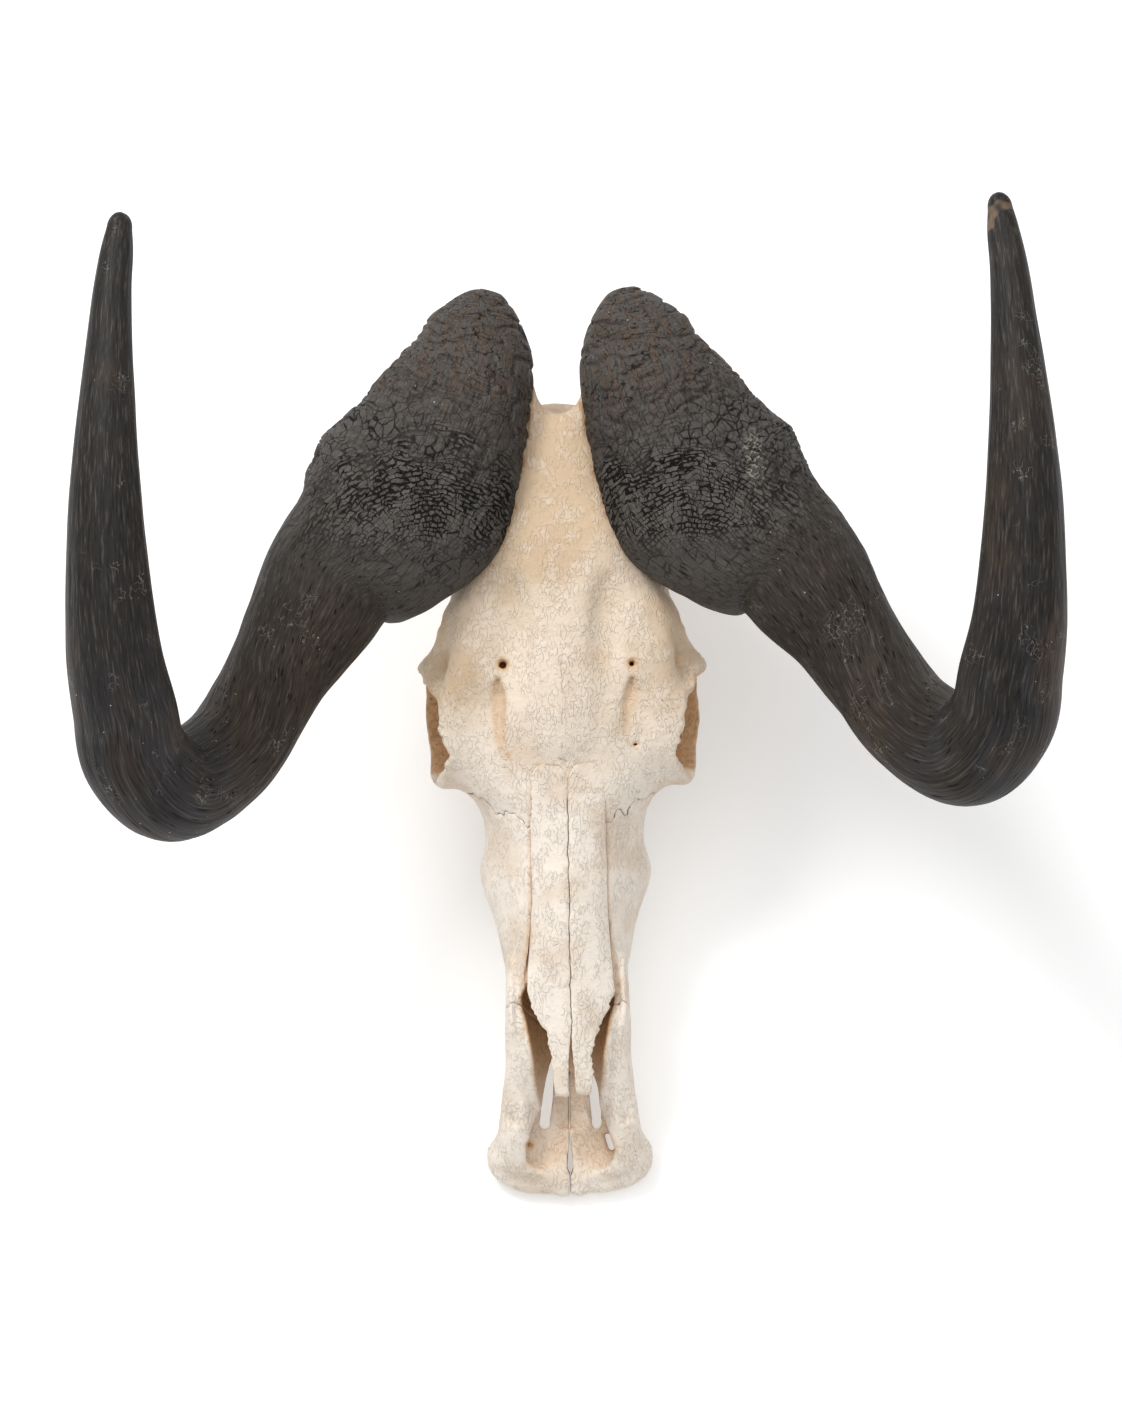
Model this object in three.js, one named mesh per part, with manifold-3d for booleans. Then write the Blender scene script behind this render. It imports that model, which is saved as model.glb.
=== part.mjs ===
// Skull of a black wildebeest with both horns and no lower jaw, at life size, in millimetres.
// The bones are drawn in the face frame: x to the animal's left, u from the muzzle up the face to the
// horns, w out of the face. The whole skull is then tipped back so that it rests on its cheek teeth and
// on the two processes beside the neck joint.

import * as THREE from 'three';
import { mergeVertices } from 'three/addons/utils/BufferGeometryUtils.js';
import Module from 'manifold-3d';

const wasm = await Module();
wasm.setup();

// Driving dimensions
const REST_TILT = THREE.MathUtils.degToRad(19); // rise of the face above the floor when the skull lies down
const FLOOR_DROP = 47.3; // from the muzzle's zero point down to the floor
const ORIGIN_SHIFT = -227.6; // along the floor, brings the middle of the outline over the origin
const GAP = 0.3; // between bones, and between bone and horn
const SIDES = [['left', 1], ['right', -1]];

const FRONTAL_EDGE_U = 415; // bone edge beside the horns
const FRONTAL_NOTCH = { u: 424, across: 10, along: 13 }; // hollow in that edge on the midline
const NOSE_CUT = { u: 108, slope: 0.5 }; // suture of premaxilla and maxilla, leaning forward with depth
const CHEEK_CUT = { u: 199, slope: -0.27 }; // suture of maxilla and lacrimal, leaning back with depth

// Stations of the bony body along the face: half-width a, top wt, widest level wc, base wb, and the
// superellipse exponents above (pt) and below (pb) the widest level.
const BODY = [
  { u: 74, a: 32, wt: -7, wc: -33, wb: -55, pt: 2.2, pb: 3.2 },
  { u: 100, a: 32.5, wt: -3, wc: -33, wb: -61, pt: 2.2, pb: 3.2 },
  { u: 122, a: 33.5, wt: -1, wc: -40, wb: -69, pt: 2.0, pb: 3.2 },
  { u: 146, a: 38.5, wt: 0, wc: -50, wb: -77, pt: 1.9, pb: 3.2 },
  { u: 168, a: 47, wt: 1, wc: -57, wb: -84, pt: 1.8, pb: 3.0 },
  { u: 186, a: 43, wt: 1.5, wc: -53, wb: -89, pt: 1.9, pb: 3.0 },
  { u: 202, a: 45, wt: 2, wc: -46, wb: -93, pt: 2.2, pb: 2.6 },
  { u: 218, a: 54, wt: 3, wc: -38, wb: -97, pt: 2.7, pb: 2.0 },
  { u: 245, a: 61, wt: 6, wc: -28, wb: -102, pt: 3.1, pb: 1.7 },
  { u: 275, a: 62, wt: 9, wc: -23, wb: -108, pt: 3.3, pb: 1.6 },
  { u: 305, a: 60, wt: 12, wc: -20, wb: -117, pt: 3.3, pb: 1.6 },
  { u: 335, a: 56, wt: 14, wc: -26, wb: -127, pt: 2.9, pb: 2.0 },
  { u: 365, a: 52, wt: 14, wc: -42, wb: -137, pt: 2.4, pb: 2.6 },
  { u: 392, a: 47, wt: 11, wc: -58, wb: -139, pt: 2.2, pb: 2.8 },
  { u: 406, a: 40, wt: 7, wc: -66, wb: -135, pt: 2.2, pb: 2.6 },
  { u: FRONTAL_EDGE_U, a: 30, wt: 0, wc: -70, wb: -126, pt: 2.2, pb: 2.4 },
];

// Stations of a horn from the top of its boss to its tip: spine x, u, w, half-width h across the
// spine in the face plane, half-depth d out of it.
const HORN = [
  { x: 39.5, u: 448, w: 5, h: 29.5, d: 27 },
  { x: 43.5, u: 430, w: 6.5, h: 36.5, d: 33 },
  { x: 55.5, u: 404.5, w: 8, h: 45, d: 37 },
  { x: 64, u: 388.5, w: 9, h: 49.5, d: 39 },
  { x: 78, u: 366, w: 11, h: 55, d: 40 },
  { x: 98.2, u: 344, w: 15, h: 47, d: 38 },
  { x: 117.6, u: 328, w: 20, h: 37, d: 34 },
  { x: 128.8, u: 310, w: 26, h: 33.4, d: 30 },
  { x: 145, u: 285, w: 33, h: 27.2, d: 27 },
  { x: 157.5, u: 264, w: 44, h: 25.6, d: 26 },
  { x: 174, u: 240, w: 66, h: 26.2, d: 26 },
  { x: 198, u: 225, w: 96, h: 27.2, d: 26.5 },
  { x: 214.5, u: 241, w: 118, h: 27.2, d: 26.5 },
  { x: 218.5, u: 264.5, w: 131, h: 25.8, d: 25.5 },
  { x: 222, u: 289, w: 142, h: 23.8, d: 23.6 },
  { x: 223.5, u: 318, w: 150, h: 21.4, d: 21.4 },
  { x: 224, u: 357.5, w: 156, h: 18.6, d: 18.6 },
  { x: 223, u: 396, w: 158, h: 15.3, d: 15.3 },
  { x: 221, u: 436, w: 155, h: 11.6, d: 11.8 },
  { x: 219.3, u: 465, w: 151, h: 9.5, d: 9.6 },
  { x: 217, u: 485, w: 148, h: 8.1, d: 8.1 },
  { x: 215.7, u: 496.5, w: 146.5, h: 6.3, d: 6.3 },
];
const HORN_TIP_LENGTH = 8;
const HORN_CAP_LENGTH = 24;
// The two horns differ a little: from the shaft on, one stands higher and wider than the other.
const HORN_SWAY = { from: 0.15, to: 0.5, tip: 0.2, left: { x: 3.4, u: 5.3 }, right: { x: 2.4, u: -5.3 } };

// Nasal bones: half-width b along the face, and a sideways shift of the pair.
const NASAL = [
  { u: 54, b: 9, top: -7 },
  { u: 72, b: 10, top: -4.5 },
  { u: 86, b: 13, top: -3 },
  { u: 100, b: 18, top: -2.5 },
  { u: 112, b: 20.5, top: -2 },
  { u: 150, b: 21, top: 0 },
  { u: 190, b: 20.5, top: 1.8 },
  { u: 210, b: 19, top: 2.7 },
  { u: 220, b: 15, top: 3.2 },
  { u: 226, b: 10, top: 3.6 },
];
const NASAL_SHIFT = 2;
const NASAL_THICK = 5.5;

const ORBIT = { x: 31, u: 253.5, w: -33, length: 41.5, radiusU: 34, radiusW: 33, lean: 0.125 };
const SOCKET = { x: 80, u: 250, w: -34, deep: 50, radiusU: 27, radiusW: 26.5 };

const TOOTH_LENGTHS = [10, 11.5, 13.5, 17.5, 19, 18.5]; // premolars, then molars
const TOOTH_START_U = 122;
const TOOTH_WIDTH = 15.5;
const TOOTH_ROW = { front: 25.5, back: 31 }; // from the midline to the middle of the row
const TOOTH_CLEAR = 0.7;

// Plain maths
const lerp = THREE.MathUtils.lerp;
const smooth = THREE.MathUtils.smoothstep;

// Cubic through the stations: the slope at each is that of the chord between its neighbours.
function along(stations, key, name) {
  const t = stations.map((s) => s[key]);
  const v = stations.map((s) => s[name]);
  const last = t.length - 1;
  const slope = t.map((_, i) => {
    const a = Math.max(i - 1, 0);
    const b = Math.min(i + 1, last);
    return (v[b] - v[a]) / (t[b] - t[a]);
  });
  return (at) => {
    let i = 0;
    while (i < last - 1 && at > t[i + 1]) i += 1;
    const step = t[i + 1] - t[i];
    const f = (at - t[i]) / step;
    const f2 = f * f;
    const f3 = f2 * f;
    return (2 * f3 - 3 * f2 + 1) * v[i] + (f3 - 2 * f2 + f) * step * slope[i]
      + (3 * f2 - 2 * f3) * v[i + 1] + (f3 - f2) * step * slope[i + 1];
  };
}

const body = {};
for (const name of ['a', 'wt', 'wc', 'wb', 'pt', 'pb']) body[name] = along(BODY, 'u', name);

// Level of the floor under a point of the face, once the skull lies down.
function floorLevel(u) {
  return (-FLOOR_DROP - u * Math.sin(REST_TILT)) / Math.cos(REST_TILT);
}

// Closed geometry and solids
function loft(rings) {
  const count = rings[0].length;
  const points = rings.flat();
  const index = [];
  for (let r = 0; r < rings.length - 1; r += 1) {
    for (let k = 0; k < count; k += 1) {
      const a = r * count + k;
      const b = r * count + ((k + 1) % count);
      index.push(a, b, a + count, b, b + count, a + count);
    }
  }
  for (const [r, turn] of [[0, 1], [rings.length - 1, -1]]) {
    const centre = points.length;
    points.push(rings[r].reduce((sum, p) => sum.add(p), new THREE.Vector3()).divideScalar(count));
    for (let k = 0; k < count; k += 1) {
      const a = r * count + k;
      const b = r * count + ((k + 1) % count);
      index.push(...(turn > 0 ? [centre, b, a] : [centre, a, b]));
    }
  }
  const geometry = new THREE.BufferGeometry().setFromPoints(points);
  geometry.setIndex(index);
  return geometry;
}

function solid(geometry) {
  const plain = geometry.clone();
  plain.deleteAttribute('normal');
  plain.deleteAttribute('uv');
  const merged = mergeVertices(plain, 1e-4);
  const position = merged.attributes.position;
  const triangles = [];
  for (let i = 0; i < merged.index.count; i += 3) {
    const t = [0, 1, 2].map((k) => merged.index.getX(i + k));
    if (t[0] !== t[1] && t[1] !== t[2] && t[2] !== t[0]) triangles.push(...t);
  }
  const corner = [0, 1, 2].map(() => new THREE.Vector3());
  let volume = 0;
  for (let i = 0; i < triangles.length; i += 3) {
    corner.forEach((c, k) => c.fromBufferAttribute(position, triangles[i + k]));
    volume += corner[0].dot(corner[1].clone().cross(corner[2]));
  }
  if (volume < 0) triangles.reverse();
  return new wasm.Manifold(new wasm.Mesh({
    numProp: 3,
    vertProperties: new Float32Array(position.array),
    triVerts: new Uint32Array(triangles),
  }));
}

function join(solids) {
  return solids.reduce((sum, s) => sum.add(s));
}

function largest(whole) {
  const pieces = whole.decompose();
  return pieces.reduce((best, piece) => (piece.volume() > best.volume() ? piece : best));
}

function geometryOf(whole) {
  const mesh = largest(whole).getMesh();
  const geometry = new THREE.BufferGeometry();
  geometry.setAttribute('position', new THREE.BufferAttribute(new Float32Array(mesh.vertProperties), 3));
  geometry.setIndex(Array.from(mesh.triVerts));
  geometry.computeVertexNormals();
  return geometry;
}

// Superellipse ring in the x, w plane; the exponents differ above and below its widest level.
function ring(u, { xc = 0, a, wt, wc, wb, pt = 2, pb = 2, shear = 0 }, count) {
  const points = [];
  for (let k = 0; k < count; k += 1) {
    const angle = (2 * Math.PI * k) / count;
    const s = Math.sin(angle);
    const c = Math.cos(angle);
    const p = c >= 0 ? pt : pb;
    const reach = c >= 0 ? wt - wc : wc - wb;
    const w = wc + reach * Math.sign(c) * Math.pow(Math.abs(c), 2 / p);
    const across = a * Math.sign(s) * Math.pow(Math.abs(s), 2 / p);
    points.push(new THREE.Vector3(xc + across + shear * (w - wc), u, w));
  }
  return points;
}

function ellipsoid(x, u, w, rx, ru, rw, around = 12, down = 8) {
  const geometry = new THREE.SphereGeometry(1, around, down);
  geometry.scale(rx, ru, rw);
  geometry.translate(x, u, w);
  return solid(geometry);
}

// Elliptic bar along a smooth path, with half-widths given as functions of the share of its length.
function bar(points, halfAcross, halfDeep, steps, sides = 8) {
  const path = new THREE.CatmullRomCurve3(points.map((p) => new THREE.Vector3(...p)));
  const rings = [];
  const out = new THREE.Vector3(0, 0, 1);
  for (let i = 0; i <= steps; i += 1) {
    const t = i / steps;
    const centre = path.getPoint(t);
    const tangent = path.getTangent(t);
    const across = out.clone().cross(tangent).normalize();
    const deep = tangent.clone().cross(across);
    const loop = [];
    for (let k = 0; k < sides; k += 1) {
      const angle = (2 * Math.PI * k) / sides;
      loop.push(centre.clone()
        .addScaledVector(across, halfAcross(t) * Math.cos(angle))
        .addScaledVector(deep, halfDeep(t) * Math.sin(angle)));
    }
    rings.push(loop);
  }
  return solid(loft(rings));
}

const mirrored = (points, side) => points.map(([x, u, w]) => [x * side, u, w]);

// The bony body: muzzle, cheeks, forehead and braincase in one loft
function bonyBody() {
  const rings = [];
  const first = BODY[0].u;
  const steps = 20;
  for (let i = 0; i <= steps; i += 1) {
    const u = lerp(first, FRONTAL_EDGE_U, i / steps);
    const at = {};
    for (const name of Object.keys(body)) at[name] = body[name](u);
    rings.push(ring(u, at, 26));
  }
  return solid(loft(rings));
}

// Tube of bone round the eye, leaning forward, with a rounded rim.
function orbit(side) {
  const { length, radiusU, radiusW, lean } = ORBIT;
  const profile = [[0, 0], [0.97, 0], [1, 0.6], [1.01, 0.88], [0.95, 1], [0, 1]]
    .map(([r, t]) => new THREE.Vector2(r, t * length));
  const geometry = new THREE.LatheGeometry(profile, 20);
  geometry.rotateZ(-Math.PI / 2);
  geometry.scale(1, radiusU, radiusW);
  geometry.rotateZ(-lean);
  geometry.translate(ORBIT.x, ORBIT.u, ORBIT.w);
  if (side < 0) geometry.scale(-1, 1, 1);
  return solid(geometry);
}

function socket(side) {
  const { x, u, w, deep, radiusU, radiusW } = SOCKET;
  return ellipsoid(side * x, u, w, deep, radiusU, radiusW, 18, 10);
}

// Strip of the upper rim that is broken back in front, so that the socket shows from above.
function brokenRim(side) {
  const wedge = new THREE.BoxGeometry(30, 90, 40);
  wedge.translate(15, 0, 20);
  wedge.rotateZ(-0.26);
  wedge.translate(66, 250, -15);
  if (side < 0) wedge.scale(-1, 1, 1);
  return solid(wedge);
}

function cheekArch(side) {
  const stops = [[63, 262, -60], [59.5, 288, -69], [56, 310, -82], [51, 328, -95], [42, 342, -102]];
  const path = mirrored(stops, side);
  return bar(path, (t) => lerp(5.5, 4.2, t), (t) => lerp(9, 7, t), 10);
}

// Shoulder of the brow, from the forehead down to the outer corner of the eye.
function browCorner(side) {
  const path = mirrored([[52, 303, -7], [59, 292, -13], [66, 280, -21]], side);
  return bar(path, (t) => lerp(7, 5, t), (t) => lerp(8, 6, t), 6);
}

function postorbitalBar(side) {
  return bar(mirrored([[55, 296, -10], [57, 294, -38], [58, 292, -70]], side), () => 6, () => 5.5, 6);
}

// Neck joint and base of the braincase
function occiput(side) {
  const condyle = ellipsoid(side * 17, 406, -133, 13.5, 17, 19, 12, 8);
  const process = bar(
    mirrored([[40, 388, -112], [39.5, 383, -140], [37, 378, -186]], side),
    (t) => lerp(13, 6, t),
    (t) => lerp(12, 7, t),
    8,
  );
  const bulla = ellipsoid(side * 26, 350, -132, 11, 18, 14, 10, 8);
  const glenoid = ellipsoid(side * 42, 334, -102, 20, 16, 11, 10, 6);
  return join([condyle, process, bulla, glenoid]);
}

// Bar of bone along the midline under the braincase, between the ear capsules.
function skullBase() {
  const path = [[0, 282, -104], [0, 320, -120], [0, 360, -134], [0, 400, -136]];
  return bar(path, (t) => lerp(11, 20, t), () => 10, 8);
}

function nuchalCrest() {
  const half = [[45, 395, -104], [38, 403, -80], [20, 408, -62]];
  const path = [...mirrored(half, -1), [0, 409, -56], ...half.reverse()];
  return bar(path, () => 5, () => 5, 10, 8);
}

function pterygoid(side) {
  const path = mirrored([[17, 215, -97], [16, 240, -112], [14, 272, -120]], side);
  return bar(path, () => 3, (t) => lerp(16, 9, t), 6);
}

// Bony neck that carries a horn, seen under the boss from behind.
function pedicle(side) {
  const path = mirrored([[20, 376, -66], [42, 384, -34], [68, 384, 6]], side);
  return bar(path, (t) => lerp(24, 40, t), (t) => lerp(28, 36, t), 5, 14);
}

// Cheek teeth, each a tapered block ground flat at floor level
function toothRow(side) {
  const total = TOOTH_LENGTHS.reduce((sum, l) => sum + l, 0);
  const teeth = [];
  let start = TOOTH_START_U;
  for (const length of TOOTH_LENGTHS) {
    const mid = start + length / 2;
    const share = (mid - TOOTH_START_U) / total;
    const x = side * lerp(TOOTH_ROW.front, TOOTH_ROW.back, share);
    const width = TOOTH_WIDTH * lerp(0.72, 1, Math.min(1, share * 1.6));
    const root = body.wb(mid) + 14;
    const crown = floorLevel(mid) - 5;
    const lean = Math.tan(REST_TILT) * 0.6;
    const level = (w, wide, long) => {
      const loop = [];
      for (let k = 0; k < 8; k += 1) {
        const angle = (2 * Math.PI * (k + 0.5)) / 8;
        const c = Math.cos(angle);
        const s = Math.sin(angle);
        loop.push(new THREE.Vector3(
          x + (wide / 2) * Math.sign(c) * Math.pow(Math.abs(c), 0.6),
          mid + (long / 2) * Math.sign(s) * Math.pow(Math.abs(s), 0.6) + (w - root) * lean,
          w,
        ));
      }
      return loop;
    };
    teeth.push(solid(loft([
      level(root, width, length - TOOTH_CLEAR),
      level(lerp(root, crown, 0.6), width * 1.05, length - TOOTH_CLEAR),
      level(crown, width * 0.92, length - TOOTH_CLEAR - 0.6),
    ])));
    start += length;
  }
  return join(teeth);
}

// Ridge of bone that holds the tooth roots.
function toothRidge(side) {
  const path = [];
  for (const u of [104, 136, 168, 200, 228]) {
    const share = (u - TOOTH_START_U) / 90;
    path.push([side * lerp(TOOTH_ROW.front, TOOTH_ROW.back, share), u, body.wb(u) + 2]);
  }
  const swell = (t) => Math.sqrt(1.04 - Math.pow(2 * t - 1, 4));
  return bar(path, (t) => 10.5 * swell(t), (t) => 10 * swell(t), 10);
}

// Premaxilla: a bar beside the nose opening, a broad front plate, and a rail and shelf along the palate
const PREMAXILLA_BAR = [
  { u: 2, xc: 27, wc: -43, a: 12, up: 4, down: 3 },
  { u: 14, xc: 27.5, wc: -41, a: 13.5, up: 8, down: 6 },
  { u: 30, xc: 27.5, wc: -39, a: 11, up: 12, down: 9 },
  { u: 58, xc: 26.8, wc: -36, a: 8.4, up: 16, down: 13 },
  { u: 76, xc: 26, wc: -32, a: 7, up: 17, down: 15 },
  { u: 97, xc: 28, wc: -28, a: 4.6, up: 17, down: 17 },
  { u: 122, xc: 27, wc: -27, a: 4, up: 11, down: 14 },
];
const PLATE = { thick: 3.5, bevel: 2.6, level: -46, lean: 0.12 };

function premaxillaBar(side) {
  const part = {};
  for (const name of ['xc', 'wc', 'a', 'up', 'down']) part[name] = along(PREMAXILLA_BAR, 'u', name);
  const rings = [];
  const steps = 12;
  for (let i = 0; i <= steps; i += 1) {
    const u = lerp(2, 122, i / steps);
    const wc = part.wc(u);
    rings.push(ring(u, {
      xc: side * part.xc(u), a: part.a(u), wt: wc + part.up(u), wc, wb: wc - part.down(u),
      pt: 1.7, pb: 2.4, shear: side * 0.12,
    }, 12));
  }
  return solid(loft(rings));
}

function frontPlate(side) {
  const outline = new THREE.Shape();
  const inset = PLATE.bevel;
  outline.moveTo(0.6 + inset, -3.5 + inset);
  outline.bezierCurveTo(16, -6.5 + inset, 33, -6 + inset, 42.5 - inset, 8);
  outline.bezierCurveTo(46.5 - inset, 16, 43 - inset, 24, 36.5 - inset, 33);
  outline.lineTo(19, 40);
  outline.bezierCurveTo(18.5, 31, 14, 26, 9, 27);
  outline.lineTo(0.6 + inset, 28);
  const geometry = new THREE.ExtrudeGeometry(outline, {
    depth: PLATE.thick,
    bevelThickness: PLATE.bevel,
    bevelSize: PLATE.bevel,
    bevelSegments: 2,
    curveSegments: 6,
  });
  geometry.rotateX(PLATE.lean);
  geometry.translate(0, 0, PLATE.level);
  if (side < 0) geometry.scale(-1, 1, 1);
  return solid(geometry);
}

function palateBar(side) {
  const path = mirrored([[4.6, 4, -43], [4.6, 36, -45], [4.6, 90, -50]], side);
  const rail = bar(path, () => 4.6, () => 3.6, 6, 8);
  const shelf = new THREE.BoxGeometry(26, 34, 6);
  shelf.translate(side * 13, 76, -50);
  return rail.add(solid(shelf));
}

// Openings
function noseCavity() {
  const stations = [
    { u: 60, a: 18.2, wt: 20, wc: -15, wb: -43 },
    { u: 76, a: 18.4, wt: 20, wc: -15, wb: -44 },
    { u: 92, a: 21.5, wt: 20, wc: -15, wb: -46 },
    { u: 104, a: 23.5, wt: 16, wc: -18, wb: -48 },
    { u: 112, a: 20.5, wt: -4, wc: -24, wb: -50 },
    { u: 135, a: 17, wt: -9, wc: -28, wb: -52 },
    { u: 160, a: 12, wt: -12, wc: -28, wb: -50 },
    { u: 178, a: 5, wt: -20, wc: -29, wb: -40 },
  ];
  return solid(loft(stations.map((s) => ring(s.u, { ...s, pt: 3.2, pb: 3.2 }, 16))));
}

function palateSlot(side) {
  return ellipsoid(side * 13.5, 44, -50, 3.6, 17, 30, 12, 10);
}

function choana() {
  return ellipsoid(0, 245, -116, 12, 46, 26, 12, 8);
}

function frontalNotch() {
  return ellipsoid(0.5, FRONTAL_NOTCH.u, 0, FRONTAL_NOTCH.across, FRONTAL_NOTCH.along, 60, 12, 8);
}

function spinalOpening() {
  return ellipsoid(0, 420, -119, 12.5, 36, 12.5, 12, 8);
}

function templeHollow(side) {
  return ellipsoid(side * 62, 322, -58, 20, 20, 27, 12, 8);
}

function browHole(side) {
  return join([
    ellipsoid(side * 33, 281, 4, 2.2, 2.4, 9, 8, 6),
    ellipsoid(side * 34.5, 253, 5.5, 2.6, 17, 5, 8, 8),
  ]);
}

// Nasal bones: curved strips let into the roof of the face
function nasal(side, grow = 0) {
  const half = along(NASAL, 'u', 'b');
  const top = along(NASAL, 'u', 'top');
  const first = NASAL[0].u;
  const last = NASAL[NASAL.length - 1].u;
  const steps = 16;
  const across = 5;
  const rings = [];
  for (let i = 0; i <= steps; i += 1) {
    const u = lerp(first - grow, last + grow, i / steps);
    const inner = (grow ? -1 : GAP / 2) + 5 * smooth(u, 214, 232);
    const outer = half(Math.min(Math.max(u, first), last)) + grow;
    const loop = [];
    for (const under of [0, 1]) {
      for (let k = 0; k < across; k += 1) {
        const f = under ? 1 - k / (across - 1) : k / (across - 1);
        const x = lerp(inner, outer, f);
        const crown = top(Math.min(Math.max(u, first), last)) - 4.6 * Math.pow(x / 21, 2);
        const w = under ? crown - NASAL_THICK - grow : crown + (grow ? 25 : 0);
        loop.push(new THREE.Vector3(side * x + NASAL_SHIFT, u, w));
      }
    }
    rings.push(loop);
  }
  return solid(loft(rings));
}

// Horn: a tapering tube along its spine, thick and broad at the boss, hooked up at the end. Its first
// section lies across the spine in the face plane, and the others follow without twisting.
function horn(side, name, grow = 0) {
  const spine = HORN.map((s, i) => {
    const share = i / (HORN.length - 1);
    const sway = smooth(share, HORN_SWAY.from, HORN_SWAY.to);
    const rise = sway * lerp(1, HORN_SWAY.tip, smooth(share, 0.6, 1));
    return new THREE.Vector3(side * s.x + HORN_SWAY[name].x * sway, s.u + HORN_SWAY[name].u * rise, s.w);
  });
  const path = new THREE.CatmullRomCurve3(spine);
  const sizes = HORN.map((s, i) => ({ t: i / (HORN.length - 1), h: s.h, d: s.d }));
  const half = along(sizes, 't', 'h');
  const deep = along(sizes, 't', 'd');
  const rings = [];
  const sides = 18;
  const steps = 40;
  const e1 = new THREE.Vector3(0, 0, 1).cross(path.getTangent(0)).normalize();
  const addRing = (centre, tangent, h, d) => {
    e1.addScaledVector(tangent, -e1.dot(tangent)).normalize(); // carried along without twist
    const e2 = tangent.clone().cross(e1);
    const loop = [];
    for (let k = 0; k < sides; k += 1) {
      const angle = (2 * Math.PI * k) / sides;
      loop.push(centre.clone()
        .addScaledVector(e1, h * Math.cos(angle))
        .addScaledVector(e2, d * Math.sin(angle)));
    }
    rings.push(loop);
  };
  const roundEnd = (t, length, outward) => {
    const tangent = path.getTangent(t);
    const shares = outward > 0 ? [0.55, 0.9] : [0.95, 0.75, 0.4];
    for (const f of shares) {
      const centre = path.getPoint(t).addScaledVector(tangent, outward * f * (length + grow));
      const shrink = Math.sqrt(1 - f * f);
      addRing(centre, tangent, (half(t) + grow) * shrink, (deep(t) + grow) * shrink);
    }
  };
  roundEnd(0, HORN_CAP_LENGTH, -1);
  for (let i = 0; i <= steps; i += 1) {
    const t = i / steps;
    addRing(path.getPoint(t), path.getTangent(t), half(t) + grow, deep(t) + grow);
  }
  roundEnd(1, HORN_TIP_LENGTH, 1);
  return solid(loft(rings));
}

// Cutting blocks: everything in front of, or behind, a sloping suture; one side of the midline; the floor
const FAR = 700;

function sutureBlock({ u, slope }, sign) {
  const block = new THREE.BoxGeometry(FAR, FAR, FAR);
  block.translate(0, sign * (FAR / 2 + GAP / 2), 0);
  block.rotateX(-Math.atan(slope));
  block.translate(0, u, 0);
  return solid(block);
}

function sideBlock(side) {
  const block = new THREE.BoxGeometry(FAR, FAR * 2, FAR);
  block.translate(side * (FAR / 2 + GAP / 2), 0, 0);
  return solid(block);
}

function floorBlock() {
  const block = new THREE.BoxGeometry(FAR, FAR * 2, FAR);
  block.translate(0, 0, -FAR / 2 - FLOOR_DROP);
  block.rotateX(-REST_TILT);
  return solid(block);
}

// Assembly
const pairs = (make) => SIDES.map(([name, side]) => make(side, name));

const wholeBone = join([
  bonyBody(), skullBase(), nuchalCrest(),
  ...pairs(orbit), ...pairs(cheekArch), ...pairs(postorbitalBar), ...pairs(browCorner),
  ...pairs(occiput), ...pairs(pterygoid),
  ...pairs(pedicle), ...pairs(toothRidge), ...pairs(toothRow),
  ...pairs(premaxillaBar), ...pairs(frontPlate), ...pairs(palateBar),
]);
const openings = join([
  noseCavity(), choana(), spinalOpening(), frontalNotch(), floorBlock(),
  ...pairs(socket), ...pairs(brokenRim), ...pairs(palateSlot), ...pairs(templeHollow), ...pairs(browHole),
  ...pairs((side) => nasal(side, GAP)),
  ...pairs((side, name) => horn(side, name, GAP)),
]);
const bone = wholeBone.subtract(openings);

const boneColour = new THREE.Color().setRGB(0.87, 0.79, 0.66, THREE.SRGBColorSpace);
const hornColour = new THREE.Color().setRGB(0.16, 0.145, 0.135, THREE.SRGBColorSpace);
const boneMaterial = () => new THREE.MeshStandardMaterial({ color: boneColour, roughness: 0.75 });
const hornMaterial = () => new THREE.MeshStandardMaterial({ color: hornColour, roughness: 0.55 });

const skull = new THREE.Group();

function add(name, whole, material) {
  const mesh = new THREE.Mesh(geometryOf(whole), material);
  mesh.name = name;
  skull.add(mesh);
}

const nose = bone.intersect(sutureBlock(NOSE_CUT, -1));
const cheeks = bone.intersect(sutureBlock(NOSE_CUT, 1)).intersect(sutureBlock(CHEEK_CUT, -1));
add('cranium', bone.intersect(sutureBlock(CHEEK_CUT, 1)), boneMaterial());
for (const [name, side] of SIDES) {
  add(`maxilla_${name}`, cheeks.intersect(sideBlock(side)), boneMaterial());
  add(`premaxilla_${name}`, nose.intersect(sideBlock(side)), boneMaterial());
  add(`nasal_${name}`, nasal(side), boneMaterial());
  add(`horn_${name}`, horn(side, name), hornMaterial());
}

skull.rotation.x = REST_TILT;
skull.position.set(0, ORIGIN_SHIFT, FLOOR_DROP);

const part = new THREE.Group();
part.add(skull);

export default part;
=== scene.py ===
# %% [markdown]
# # A black wildebeest skull with its horns
#
# The skull lies on the floor on its cheek teeth and on the two prongs beside the neck joint, and the
# camera looks down on its face. Two very different surfaces make it: dry, cream-white bone with rounded
# forms that melt into each other, and black horn that is cracked into blocks on the bosses and smooth on
# the hooks. Bone is sculpted as a numpy field that is negative inside the bone, horn as a profile carried
# along a path.

import bpy
import numpy as np
import openvdb
from mathutils import Matrix, Vector


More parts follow.
